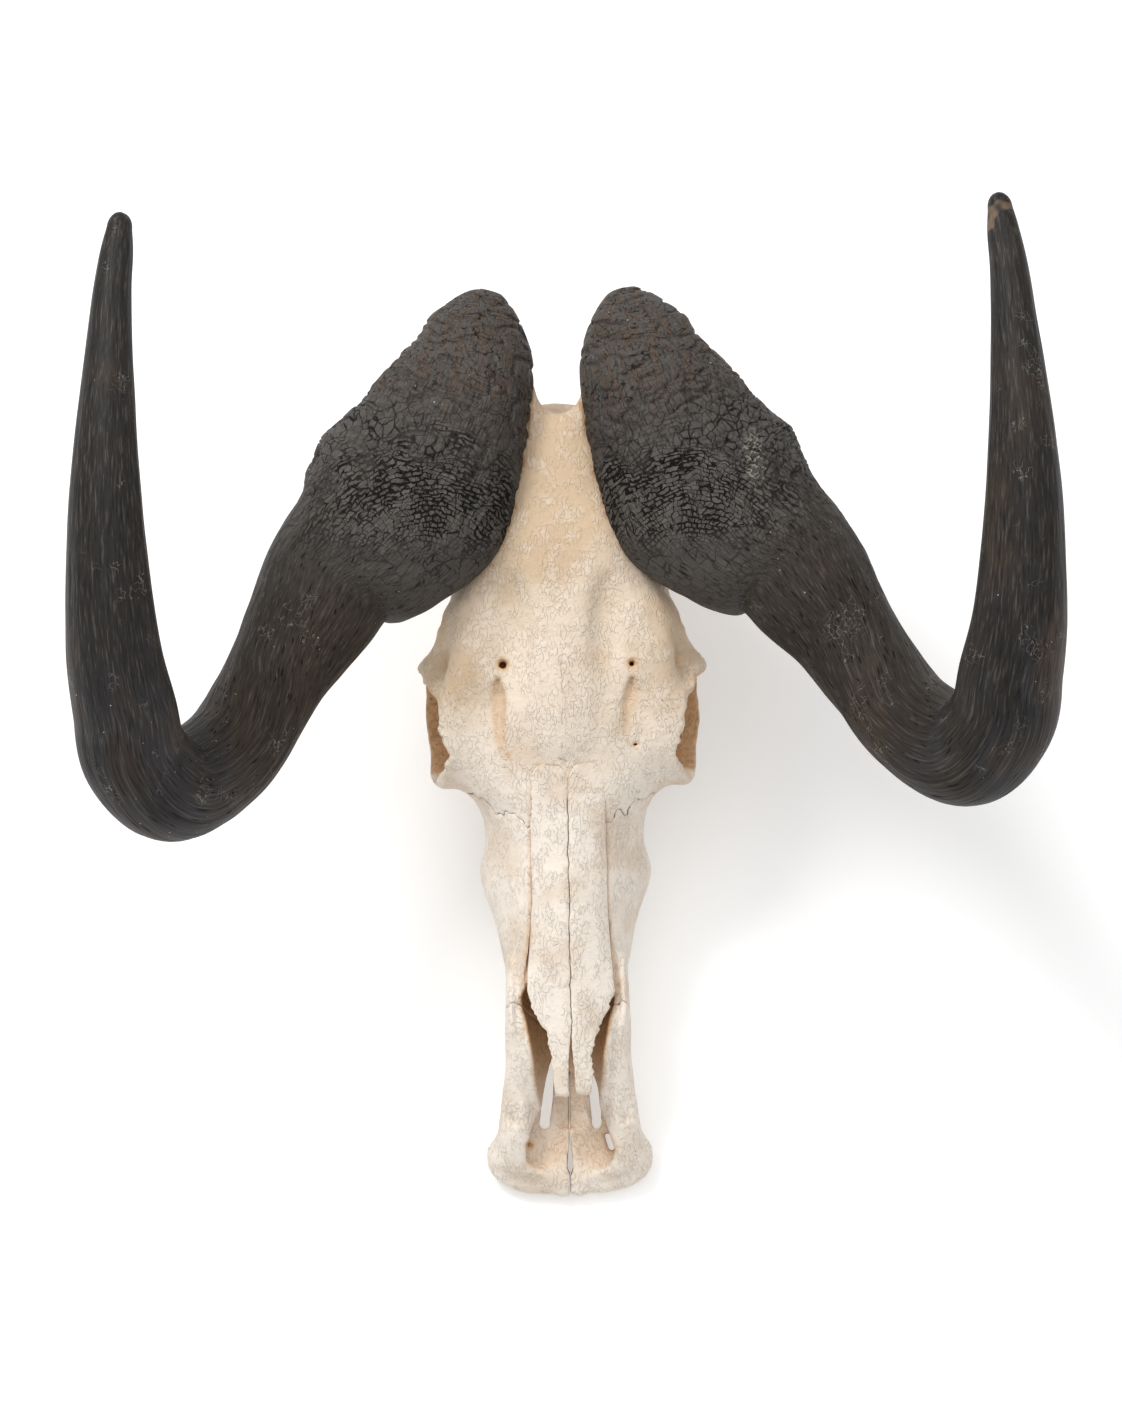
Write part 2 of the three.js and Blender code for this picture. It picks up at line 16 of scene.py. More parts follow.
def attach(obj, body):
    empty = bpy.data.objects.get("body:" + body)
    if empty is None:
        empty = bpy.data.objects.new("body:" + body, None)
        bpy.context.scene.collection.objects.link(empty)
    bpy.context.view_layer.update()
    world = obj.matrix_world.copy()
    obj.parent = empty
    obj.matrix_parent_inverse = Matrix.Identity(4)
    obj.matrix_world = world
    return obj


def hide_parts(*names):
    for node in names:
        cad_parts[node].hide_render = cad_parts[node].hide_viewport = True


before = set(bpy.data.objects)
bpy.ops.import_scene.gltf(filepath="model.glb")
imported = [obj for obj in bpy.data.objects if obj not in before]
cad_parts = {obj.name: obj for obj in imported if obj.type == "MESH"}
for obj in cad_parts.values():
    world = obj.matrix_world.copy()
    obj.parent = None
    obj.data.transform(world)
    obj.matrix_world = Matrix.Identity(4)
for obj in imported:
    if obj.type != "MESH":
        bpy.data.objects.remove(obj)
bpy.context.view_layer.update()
print("solids:", ", ".join(sorted(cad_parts)))

# %% [markdown]
# ## The face frame
#
# A skull is easiest to describe along its own face: x to the animal's left, u from the muzzle up to the
# horns, w out of the face, all in millimetres. Lying down tips the face back by a few degrees. One small
# function does that turn for every piece, so each object stays at the origin with its place in its mesh.

# %% Face frame to floor
TILT = np.radians(19.0)
FLOOR_DROP = 47.3
ALONG_FLOOR = -227.6


def lay_down(points):
    """Turns face-frame millimetres about X by the tilt, moves them onto the floor, and gives metres."""
    x, u, w = np.moveaxis(np.asarray(points, dtype=np.float64), -1, 0)
    y = u * np.cos(TILT) - w * np.sin(TILT) + ALONG_FLOOR
    z = u * np.sin(TILT) + w * np.cos(TILT) + FLOOR_DROP
    return np.stack([x, y, z], axis=-1) * 0.001


def floor_level(u):
    """Level w of the floor under a place u of the face."""
    return (-FLOOR_DROP - u * np.sin(TILT)) / np.cos(TILT)


print("front of the muzzle, in metres:", lay_down([0, 0, -45]).round(3))

# %% [markdown]
# ## Tools for arrays
#
# Every mesh here is made from whole arrays. The first function puts points and faces into a mesh, the second
# stores numbers or vectors at the points for a material to read, and the others are the curves and the
# repeatable noise that give a form its run and its roughness.

# %% Meshes from arrays
SIDES = (("left", 1), ("right", -1))
pieces = {}


def new_piece(name, points, triangles):
    """Mesh object from face-frame points and triangles, turned over if they enclose a negative volume."""
    a, b, c = (points[triangles[:, k]] for k in range(3))
    if np.einsum("ij,ij->i", a, np.cross(b, c)).sum() < 0:
        triangles = triangles[:, ::-1]
    mesh = bpy.data.meshes.new(name)
    mesh.vertices.add(len(points))
    mesh.vertices.foreach_set("co", lay_down(points).astype(np.float32).ravel())
    mesh.loops.add(triangles.size)
    mesh.loops.foreach_set("vertex_index", triangles.astype(np.int32).ravel())
    mesh.polygons.add(len(triangles))
    mesh.polygons.foreach_set("loop_start", np.arange(0, triangles.size, 3, dtype=np.int32))
    mesh.update(calc_edges=True)
    mesh.validate()
    mesh.shade_smooth()
    piece = bpy.data.objects.new(name, mesh)
    bpy.context.scene.collection.objects.link(piece)
    pieces[name] = piece
    print(name, len(mesh.polygons), "triangles")
    return piece


def store(piece, **named):
    """Keeps named numbers or vectors at the points of a piece; a single number goes to all of them."""
    for name, values in named.items():
        values = np.asarray(values, dtype=np.float32)
        if values.ndim == 0:
            values = np.full(len(piece.data.vertices), values)
        kind, slot = ("FLOAT", "value") if values.ndim == 1 else ("FLOAT_VECTOR", "vector")
        piece.data.attributes.new(name, kind, "POINT").data.foreach_set(slot, values.ravel())


def with_poles(rings):
    """Points of a grid of rings, then the mid-points of its first and its last ring."""
    return np.concatenate([rings.reshape(-1, 3), rings[[0, -1]].mean(axis=1)])


def tube_faces(rows, around):
    """Triangles of a grid of rings closed round, with a fan from a pole point at each end."""
    i = np.arange(rows - 1)[:, None] * around
    k = np.arange(around)[None, :]
    k2 = (k + 1) % around
    quads = np.stack([i + k, i + k2, i + around + k2, i + around + k], axis=-1).reshape(-1, 4)
    pole = np.full(around, rows * around)
    end = (rows - 1) * around
    first = np.stack([pole, k2[0], k[0]], axis=-1)
    last = np.stack([pole + 1, end + k[0], end + k2[0]], axis=-1)
    return np.concatenate([quads[:, [0, 1, 2]], quads[:, [0, 2, 3]], first, last])


# %% Curves and noise


def along(knots, values, at):
    """Cubic through values at the knots; the slope at a knot is that of the chord between its neighbours."""
    t = np.asarray(knots, dtype=np.float64)
    v = np.asarray(values, dtype=np.float64)
    low = np.maximum(np.arange(len(t)) - 1, 0)
    high = np.minimum(np.arange(len(t)) + 1, len(t) - 1)
    slope = (v[high] - v[low]) / (t[high] - t[low])
    i = np.clip(np.searchsorted(t, at, side="right") - 1, 0, len(t) - 2)
    step = t[i + 1] - t[i]
    f = np.clip((at - t[i]) / step, 0, 1)
    return ((2 * f**3 - 3 * f**2 + 1) * v[i] + (f**3 - 2 * f**2 + f) * step * slope[i]
            + (3 * f**2 - 2 * f**3) * v[i + 1] + (f**3 - f**2) * step * slope[i + 1])


def ramp(value, low, high):
    """Smooth step from 0 at low to 1 at high."""
    f = np.clip((value - low) / (high - low), 0, 1)
    return f * f * (3 - 2 * f)


def hash01(*cells):
    """Repeatable pseudo-random number from 0 to 1 for each set of whole-number cell indices."""
    mixed = np.zeros(np.broadcast(*cells).shape, dtype=np.uint32)
    for cell, factor in zip(cells, (374761393, 668265263, 2246822519)):
        mixed = mixed + cell.astype(np.int64).astype(np.uint32) * np.uint32(factor)
    mixed = (mixed ^ (mixed >> np.uint32(13))) * np.uint32(1274126177)
    return ((mixed ^ (mixed >> np.uint32(16))) & np.uint32(0xFFFFFF)) / float(0x1000000)


CORNERS = np.array([[dx, dy, dz] for dx in (0, 1) for dy in (0, 1) for dz in (0, 1)])


def noise3(points, scale):
    """Value noise: random numbers on a lattice of the given spacing, blended smoothly, from -1 to 1."""
    q = points / scale
    cell = np.floor(q)
    f = q - cell
    f = f * f * (3 - 2 * f)
    cell = cell.astype(np.int64)
    total = 0.0
    for corner in CORNERS:
        weight = np.prod(np.where(corner, f, 1 - f), axis=-1)
        total = total + weight * hash01(*np.moveaxis(cell + corner, -1, 0))
    return 2 * total - 1


def blocks(points):
    """Cells round scattered seeds: distance to the nearest crack, and a random number for each cell."""
    base = np.floor(points).astype(np.int64)
    first = np.full(points.shape[:-1], 9.0)
    second = np.full(points.shape[:-1], 9.0)
    own = np.zeros(points.shape[:-1])
    for corner in np.array([[i, j, k] for i in (-1, 0, 1) for j in (-1, 0, 1) for k in (-1, 0, 1)]):
        cell = base + corner
        seed = np.stack([hash01(*np.moveaxis(cell + 57 * k, -1, 0)) for k in range(3)], axis=-1)
        away = np.linalg.norm(cell + 0.15 + 0.7 * seed - points, axis=-1)
        own = np.where(away < first, seed[..., 0] * 2 - 1, own)
        second = np.minimum(second, np.maximum(first, away))
        first = np.minimum(first, away)
    return second - first, own


print("noise at three points:", noise3(np.array([[0.0, 0, 0], [3, 1, 2], [9, 4, 7]]), 5.0).round(2))

# %% [markdown]
# ## Horns
#
# A horn is a tube along a curved spine: broad and flat at the boss, round on the shaft, hooked forward and
# up to its tip. It could be sculpted by hand, but its cracks and fibres all run along it or round it, so a
# grid of two parameters is better: length along the spine, and angle round it. The relief is a function of
# the same two numbers. Each point also keeps its place on a straightened horn and a few slow noises, for the
# material to follow.

# %% Horn stations
HORN_X = [41, 46, 57, 64.5, 78, 98.2, 117.6, 128.8, 145, 157.5, 174, 198, 214.5, 218.5, 222, 223.5, 224, 223,
          221, 219.3, 217, 215.7]
HORN_U = [448, 430, 404.5, 388.5, 366, 344, 328, 310, 285, 264, 240, 225, 241, 264.5, 289, 318, 357.5, 396,
          436, 465, 485, 496.5]
HORN_W = [5, 6.5, 8, 9, 11, 15, 20, 26, 33, 44, 66, 96, 118, 131, 142, 150, 156, 158, 155, 151, 148, 146.5]
HORN_HALF_WIDTH = [28, 34.5, 43.5, 49, 55, 47, 37, 33.4, 27.2, 25.6, 26.2, 27.2, 27.2, 25.8, 23.8, 21.4,
                   18.6, 15.3, 11.6, 9.5, 8.1, 6.3]
HORN_HALF_DEPTH = [27, 33, 37, 39, 40, 38, 34, 30, 27, 26, 26, 26.5, 26.5, 25.5, 23.6, 21.4, 18.6, 15.3, 11.8,
                   9.6, 8.1, 6.3]
HORN_SWAY = {"left": (3.4, 5.3), "right": (2.4, -5.3)}
HORN_ROUND = 216
BOSS_ROWS = 250
HOOK_ROWS = 200
BOSS_END = 220
BOSS_DOME = 74.0
DOME_HALF_WIDTH, DOME_HALF_DEPTH = 43.5, 37.0
ROOT_LEAD = 28
TIP_ROUND = 8
CRACK_CENTRE = (68.0, 321.0)


def horn_path(name, side):
    """Spine, half-width, half-depth and tangent of a horn at each row, and the length up to that row."""
    knots = np.arange(len(HORN_X))
    share = knots / knots[-1]
    sway = ramp(share, 0.15, 0.5)
    spine_x = side * np.array(HORN_X) + HORN_SWAY[name][0] * sway
    spine_u = np.array(HORN_U) + HORN_SWAY[name][1] * sway * (1 - 0.8 * ramp(share, 0.6, 1.0))
    fine = np.linspace(0, knots[-1], 2000)
    line = np.stack([along(knots, v, fine) for v in (spine_x, spine_u, HORN_W)], axis=-1)
    grow = line[1] - line[0]
    line = np.concatenate([line[:1] - ROOT_LEAD * grow / np.linalg.norm(grow), line])
    grow = line[-1] - line[-2]
    line = np.concatenate([line, line[-1:] + TIP_ROUND * grow / np.linalg.norm(grow)])
    length = np.concatenate([[0], np.cumsum(np.linalg.norm(np.diff(line, axis=0), axis=1))])
    fine = np.concatenate([[0], fine, [knots[-1]]])

    def on_line(at):
        return np.stack([np.interp(at, length, line[:, k]) for k in range(3)], axis=-1)

    boss = BOSS_END * np.linspace(0.02, 1, BOSS_ROWS) ** 1.15
    spaced = 1 - (1 - np.linspace(0, 0.9985, HOOK_ROWS)[1:]) ** 1.25
    hook = BOSS_END + (length[-1] - BOSS_END) * spaced
    at = np.concatenate([boss, hook])
    knot = np.interp(at, length, fine)
    half = along(knots, HORN_HALF_WIDTH, knot)
    deep = along(knots, HORN_HALF_DEPTH, knot)
    dome = (1 - np.clip(1 - at / BOSS_DOME, 0, 1) ** 1.6) ** (1 / 1.6)
    half = np.where(at < BOSS_DOME, np.minimum(DOME_HALF_WIDTH * dome, half + 1), half)
    deep = np.where(at < BOSS_DOME, DOME_HALF_DEPTH * dome, deep)
    tip = np.sqrt(1 - np.clip((at - (length[-1] - TIP_ROUND)) / TIP_ROUND, 0, 1) ** 2)
    tangent = on_line(at + 3) - on_line(at - 3)
    tangent /= np.linalg.norm(tangent, axis=1, keepdims=True)
    return on_line(at), half * tip, deep * tip, tangent, at


def horn(name, side):
    """Tube of ellipses round the spine, with relief: half-width times the cosine of an angle to one side,
    half-depth times its sine out of the face."""
    centre, half, deep, tangent, length = horn_path(name, side)
    lean = ramp(length, 190, 330)[:, None]
    out = (1 - lean) * np.array([0, 0, 1.0]) + lean * np.array([-0.75 * side, 0, 0.65])
    e2 = out - tangent * np.sum(out * tangent, axis=1, keepdims=True)
    e2 /= np.linalg.norm(e2, axis=1, keepdims=True)
    e1 = np.cross(e2, tangent) * side
    angle = np.linspace(0, 2 * np.pi, HORN_ROUND, endpoint=False)
    angle = angle + 0.35 * np.cos(angle)
    c, s = np.cos(angle), np.sin(angle)
    ring_x, ring_w = half[:, None] * c, deep[:, None] * s
    surface = centre[:, None] + ring_x[..., None] * e1[:, None] + ring_w[..., None] * e2[:, None]
    normal = (c / half[:, None])[..., None] * e1[:, None] + (s / deep[:, None])[..., None] * e2[:, None]
    normal /= np.linalg.norm(normal, axis=-1, keepdims=True)
    straight = np.stack([ring_x, ring_w, np.broadcast_to(length[:, None], ring_x.shape)], axis=-1)
    shift = 200 - 200 * side
    relief = horn_relief(straight, surface * np.array([side, 1, 1]), shift)
    surface = surface + normal * relief[..., None]
    piece = new_piece(f"horn_{name}", with_poles(surface), tube_faces(len(half), HORN_ROUND))
    straight = with_poles(straight)
    place = straight + shift
    sweep = np.stack([noise3(place + k, 11) for k in (20, 90, 160)], axis=-1)
    store(piece, straight=straight * 0.001, warped=(straight + 2.5 * sweep) * 0.001)
    for label, size in (("cloud", 26), ("patch", 7), ("sway", 13)):
        value = 0.5 + 0.27 * noise3(place + size, size) + 0.14 * noise3(place - size, size / 2)
        store(piece, **{label: value})


def horn_relief(straight, face, shift):
    """Height of the surface: blocks, cracks and folds on the boss, fibres on the shaft, faint grooves on."""
    across, length = straight[..., 0], straight[..., 2]
    place = straight + shift
    boss = 1 - ramp(length, 130, 230)
    shaft = ramp(length, 90, 200) * (1 - 0.8 * ramp(length, 300, 420))
    warp = np.stack([noise3(place + k, 14) for k in (0, 71, 143)], axis=-1)
    dx, du = face[..., 0] - CRACK_CENTRE[0], face[..., 1] - CRACK_CENTRE[1]
    reach, turn = np.hypot(dx, du) + 2 * warp[..., 0], np.arctan2(dx, du)
    polar = np.stack([reach / 5.4, turn * 9 + 0.2 * warp[..., 1], 0.5 + 0 * turn + shift], axis=-1)
    arc, step = blocks(polar)
    split, tall = blocks((place + 6 * warp) / np.array([8.0, 8.0, 7.0]) + 40)
    fanned = (1 - ramp(reach, 58, 90)) * ramp(du, 6, 28)
    upper = ramp(du, 20, 60) * ramp(length, 35, 75)
    crack = fanned * (0.8 * np.exp(-(arc / 0.12) ** 2) - 0.15 * step)
    crack = crack + upper * (1.6 * np.exp(-(split / 0.08) ** 2) * ramp(noise3(place + 300, 22), -0.4, 0.2)
                             - 0.28 * tall)
    fibre = noise3(place * [1, 1, 0.06], 2.6) + 0.6 * noise3(place * [1, 1, 0.1] + 55, 5.0)
    lumps = noise3(place, 24) + 0.5 * noise3(place + 9, 10)
    crease = noise3(place * [0.35, 0.5, 1] + 3 * warp + 17, 5.0)
    folds = (1 - ramp(length, 50, 95)) * (0.6 - 1.8 * np.exp(-(crease / 0.18) ** 2))
    flakes = ramp(across, 8, 34) * noise3(place * [1, 1, 0.13] + 31, 3.4)
    relief = boss * (0.5 * lumps - crack + folds + 0.8 * flakes - 0.4)
    return relief + shaft * (0.42 * fibre + 0.4 * lumps) + 0.14 * fibre * ramp(length, 300, 420)


for name, side in SIDES:
    horn(name, side)

# %% [markdown]
# ## Bone as a field
#
# Dry bone has no edges of its own: a cheekbone melts into the forehead, a rim swells round the eye. Lofted
# skins would meet in hard creases, so bone is made another way. Every form is a function that gives the rough
# distance of a point from its surface, negative inside. Taking the smaller of two distances joins two forms,
# and rounding that choice melts them together. The field is kept on a grid of points all through the skull.

# %% The grid and its tools
STEP = 1.15
AXES = [np.arange(low, high, STEP) for low, high in ((-94, 94), (-12, 430), (-188, 24))]
WHOLE_GRID = ((-99, -20, -199), (99, 440, 30))
bone = np.full([len(a) for a in AXES], 30.0, dtype=np.float32)
stain = np.zeros_like(bone)


def window(low, high):
    """Slices of the grid that cover a box, and the grid's coordinates there, shaped to spread over it."""
    cut = tuple(slice(int(np.searchsorted(a, l)), int(np.searchsorted(a, h)))
                for a, l, h in zip(AXES, low, high))
    shape = ((-1, 1, 1), (1, -1, 1), (1, 1, -1))
    return cut, [a[c].reshape(s).astype(np.float32) for a, c, s in zip(AXES, cut, shape)]


def melt(a, b, blend):
    """The smaller of two distances, rounded off where they differ by less than the blend width."""
    near = np.maximum(blend - np.abs(a - b), 0) / blend
    return np.minimum(a, b) - near * near * blend * 0.25


def join(form, low, high, blend=4.0):
    """Melts a form into the bone inside a box that holds it with room to spare."""
    cut, place = window(low, high)
    bone[cut] = melt(bone[cut], form(*place), blend)


def hollow(form, low, high, blend=2.0, tan=0.0):
    """Takes a form out of the bone, with a lip rounded by the blend width, and stains its wall by a share."""
    cut, place = window(low, high)
    away = form(*place)
    bone[cut] = -melt(-bone[cut], away, blend)
    stain[cut] = np.maximum(stain[cut], tan * ramp(-away, -2.5, -0.6))


def sculpt(form, low, high, blend, take, tan):
    """Takes a form out of the bone or melts it on."""
    if take:
        hollow(form, low, high, blend, tan)
    else:
        join(form, low, high, blend)


def ripple(spacing, seed):
    """Smooth random field over the grid: random numbers at a wide spacing, blended along each axis."""
    counts = [int((a[-1] - a[0]) / spacing) + 3 for a in AXES]
    values = np.random.default_rng(seed).uniform(-1, 1, counts).astype(np.float32)
    for k, a in enumerate(AXES):
        q = (a - a[0]) / spacing
        i = q.astype(int)
        shape = [1, 1, 1]
        shape[k] = -1
        f = ramp(q - i, 0, 1).reshape(shape).astype(np.float32)
        values = np.take(values, i, axis=k) * (1 - f) + np.take(values, i + 1, axis=k) * f
    return values


def blob(centre, radii, blend=4.0, take=False, tan=0.0):
    """Ellipsoid: the scaled radius less one, divided by its slope."""
    def form(x, u, w):
        q = [(p - c) / r for p, c, r in zip((x, u, w), centre, radii)]
        k0 = np.sqrt(q[0] ** 2 + q[1] ** 2 + q[2] ** 2) + 1e-6
        k1 = np.sqrt((q[0] / radii[0]) ** 2 + (q[1] / radii[1]) ** 2 + (q[2] / radii[2]) ** 2) + 1e-6
        return k0 * (k0 - 1) / k1

    reach = np.array(radii) + blend + 6
    sculpt(form, centre - reach, centre + reach, blend, take, tan)


def rod(path, radii, blend=4.0, take=False, flat=(1, 1, 1), steps=9, tan=0.0):
    """Bar along a smooth path: distance to its nearest stretch, less a radius that changes along it."""
    path = np.asarray(path, dtype=np.float64)
    knots = np.arange(len(path))
    t = np.linspace(0, len(path) - 1, steps)
    line = np.stack([along(knots, path[:, k], t) for k in range(3)], axis=-1)
    radius = along(knots, np.broadcast_to(radii, len(path)), t)
    flat = np.asarray(flat, dtype=np.float64)

    def form(x, u, w):
        best = 1e3
        for a, b, ra, rb in zip(line[:-1] / flat, line[1:] / flat, radius[:-1], radius[1:]):
            d = b - a
            p = (x / flat[0] - a[0], u / flat[1] - a[1], w / flat[2] - a[2])
            f = np.clip((p[0] * d[0] + p[1] * d[1] + p[2] * d[2]) / np.dot(d, d), 0, 1)
            gap = np.sqrt((p[0] - f * d[0]) ** 2 + (p[1] - f * d[1]) ** 2 + (p[2] - f * d[2]) ** 2)
            best = np.minimum(best, gap - (ra + f * (rb - ra)))
        return best * flat.min()

    reach = (radius.max() + blend + 6) * flat
    sculpt(form, line.min(0) - reach, line.max(0) + reach, blend, take, tan)


def pair(make, points, *rest, **more):
    """Makes a form on the left and mirrored on the right."""
    for side in (1, -1):
        make(np.asarray(points, dtype=np.float64) * np.array([side, 1, 1]), *rest, **more)


def side_box(side, near, far, low, high):
    """Corners of a box on one side of the face, from x near to x far."""
    x = sorted((side * near, side * far))
    return (x[0], *low), (x[1], *high)


def volume():
    """Bone so far, in cubic centimetres."""
    return int((bone < 0).sum() * STEP**3 / 1000)


print("bone grid", bone.shape, "at", STEP, "mm")

# %% [markdown]
# ## The long body of the skull
#
# Muzzle, cheeks, forehead and braincase are one loft: at each place along the face the section is a
# superellipse with its own half-width, roof, widest level and base. As a field, the section's scaled radius
# less one, divided by its slope, is close enough to a distance for melting other forms on.

# %% Body sections
BODY_U = [44, 74, 100, 122, 146, 168, 186, 202, 218, 245, 275, 305, 335, 365, 392, 406, 415]
BODY_HALF = [23, 32, 32.2, 32.8, 38.5, 45.5, 42, 44, 54, 61, 61, 58, 55, 52, 47, 40, 30]
BODY_TOP = [-27, -7, -3, -1, 0, 1, 1.5, 2, 3, 6, 9, 12, 14, 14, 11, 7, 0]
BODY_WIDEST = [-38, -33, -33, -40, -50, -57, -53, -46, -38, -28, -23, -20, -26, -42, -58, -66, -70]
BODY_BASE = [-52, -55, -61, -69, -77, -84, -89, -93, -97, -102, -108, -117, -127, -137, -139, -135, -126]
BODY_POWER_UP = [2.2, 2.2, 2.2, 2.0, 1.9, 1.8, 1.9, 2.2, 2.7, 3.1, 3.3, 3.3, 2.9, 2.4, 2.2, 2.2, 2.2]
BODY_POWER_DOWN = [3.2, 3.2, 3.2, 3.2, 3.2, 3.0, 3.0, 2.6, 2.0, 1.7, 1.6, 1.6, 2.0, 2.6, 2.8, 2.6, 2.4]


def section(x, w, half, top, widest, base, power_up, power_down):
    """Distance from a superellipse with one height and power above its widest level, others below."""
    up = w >= widest
    tall = np.where(up, top - widest, widest - base)
    power = np.where(up, power_up, power_down)
    qx = np.abs(x) / half + 1e-5
    qw = np.abs(w - widest) / tall + 1e-5
    r = (qx**power + qw**power) ** (1 / power)
    slope = np.sqrt(((qx / r) ** (power - 1) / half) ** 2 + ((qw / r) ** (power - 1) / tall) ** 2)
    return (r - 1) / slope


def spread(knots, u, *tables):
    """Each table's value at the grid's places along u, shaped to spread over the grid."""
    return [along(knots, table, u.ravel()).reshape(1, -1, 1) for table in tables]


def body(x, u, w):
    d = section(x, w, *spread(BODY_U, u, BODY_HALF, BODY_TOP, BODY_WIDEST, BODY_BASE, BODY_POWER_UP,
                              BODY_POWER_DOWN))
    d = -melt(-d, u - BODY_U[0], 8.0)
    return -melt(-d, BODY_U[-1] + 0.6 - u, 9.0)


def roof(x, u):
    """Level w of the body's roof over a point of the face."""
    tables = (BODY_HALF, BODY_TOP, BODY_WIDEST, BODY_POWER_UP)
    half, top, widest, power = (along(BODY_U, table, u) for table in tables)
    across = np.minimum(np.abs(x) / half, 1)
    return widest + (top - widest) * (1 - across**power) ** (1 / power)


join(body, (-90, 30, -180), (90, 428, 24), 1.0)
print("body,", volume(), "cubic centimetres")

# %% [markdown]
# ## Eyes, cheekbones and brow
#
# The rim of the eye is a short tube of bone that leans forward, hollowed by an egg-shaped socket. Its upper
# edge has broken away in a lacy line, which lets the tan inner wall show from above. Behind it a bar closes
# the socket, and the cheek arch runs back to the jaw joint. The forehead has a nerve hole over each eye, with
# a groove below it.

# %% Round the eye
SOCKET = (31.0, 253.0, -33.0)
SOCKET_LEAN = 0.125
SOCKET_RADIUS = 34.2
SOCKET_EDGE = 42.5
BREAK_U = [212, 219, 229, 243, 259, 263, 267, 271, 276]
BREAK_X = [70, 65, 59.5, 62.5, 63.4, 65.3, 68.2, 70.5, 75]
lace = 2.6 * ripple(7.0, 3) + 1.9 * ripple(3.0, 4)


def eye_tube(side):
    """Cylinder round the eye's axis, which leans forward, closed by a rounded outer edge."""
    c, s = np.cos(SOCKET_LEAN), np.sin(SOCKET_LEAN)

    def form(x, u, w):
        px, pu, pw = side * x - SOCKET[0], u - SOCKET[1], w - SOCKET[2]
        deep, cross = px * c - pu * s, px * s + pu * c
        wall = np.sqrt(cross**2 + pw**2) - SOCKET_RADIUS - 0.8 * ramp(deep, 20, 38)
        return -melt(-wall, SOCKET_EDGE - deep, 9.0)

    join(form, *side_box(side, 20, 88, (200, -84), (304, 14)), 9.0)


def broken_rim(side):
    """Everything outside a lacy line round the upper part of the eye's rim, tapering out at both ends."""
    low, high = side_box(side, 40, 90, (208, -50), (279, 20))
    rough = lace[window(low, high)[0]]

    def form(x, u, w):
        edge, = spread(BREAK_U, u, BREAK_X)
        return np.maximum(edge - side * x + rough, -14.0 - 0.018 * (u - SOCKET[1]) ** 2 - w + 0.6 * rough)

    hollow(form, low, high, 1.0)


for side in (1, -1):
    eye_tube(side)
pair(rod, [[63, 262, -60], [59.5, 288, -69], [56, 310, -82], [51, 328, -95], [42, 342, -102]],
     [5.2, 4.6, 4.4, 4.6, 6], blend=6, flat=(1, 1, 1.7))
pair(rod, [[54, 298, -8], [56, 295, -38], [58, 292, -70]], [7, 5.5, 6], blend=9)
pair(rod, [[51, 304, -6], [58, 292, -12], [65, 281, -19]], [8, 6.5, 6], blend=8)
pair(blob, [42, 334, -102], [20, 16, 11], blend=8)
pair(blob, [62, 322, -58], [20, 20, 27], blend=5, take=True)
pair(blob, [80, 250, -34], [50, 27.5, 27], blend=2.5, take=True, tan=1.0)
pair(blob, [80, 256, -40], [46, 22.5, 22], blend=2.5, take=True, tan=1.0)
for side in (1, -1):
    broken_rim(side)
pair(blob, [64.5, 303.5, -6], [2.2, 5.0, 12], blend=2, take=True, tan=1.0)
print("eye sockets,", volume(), "cubic centimetres")

# %% Forehead
pair(rod, [[5, 250, 6], [9, 266, 8], [15, 300, 10], [18, 340, 11]], [3, 7, 9, 8], blend=14, flat=(1, 1, 0.5))
pair(rod, [[46, 306, 7], [50, 282, 5], [54, 262, 0]], [4, 6, 4], blend=12, flat=(1, 1, 0.6))
pair(blob, [24, 292, 17], [8, 30, 7.5], blend=9, take=True)
pair(blob, [40, 246, 12], [9, 18, 8], blend=8, take=True)
rod([[0.5, 250, 8.5], [0.5, 268, 10.5], [0.5, 300, 12.5]], [1.0, 2.8, 2.5], blend=7)
NERVE_HOLES = (
    ([[-33.0, 271, 6.6], [-33.4, 262, 6.6], [-33.4, 250, 5.6], [-32.6, 234, 4.6]],
     [0.8, 2.9, 2.8, 1.0], 2.0, 0.55),
    ([[36.5, 271, 6.6], [35.8, 262, 6.4], [34.2, 252, 6.0], [32.5, 240, 5.2]],
     [0.8, 2.7, 2.3, 0.8], 2.0, 0.5),
    ([[-30.0, 281.3, 22], [-30.6, 278, 2]], 1.9, 1.2, 1.0),
    ([[36.5, 280.8, 22], [36.3, 277, 2]], 1.4, 1.2, 1.0),
    ([[-29, 231.8, 12], [-29, 231, -3]], 0.8, 0.8, 0.5),
    ([[37.7, 237, 12], [37.8, 236, -3]], 0.8, 0.8, 0.5))
for path, radii, blend, tan in NERVE_HOLES:
    rod(path, radii, blend, take=True, tan=tan)
print("forehead,", volume(), "cubic centimetres")

# %% [markdown]
# ## Back and base of the skull
#
# From behind a skull shows a crest where the neck muscles pull, a round hole for the spinal cord between two
# smooth condyles, and a prong beside each. From below come the ear capsules, a bar along the midline, two
# thin plates behind the palate and the opening of the nose between them.

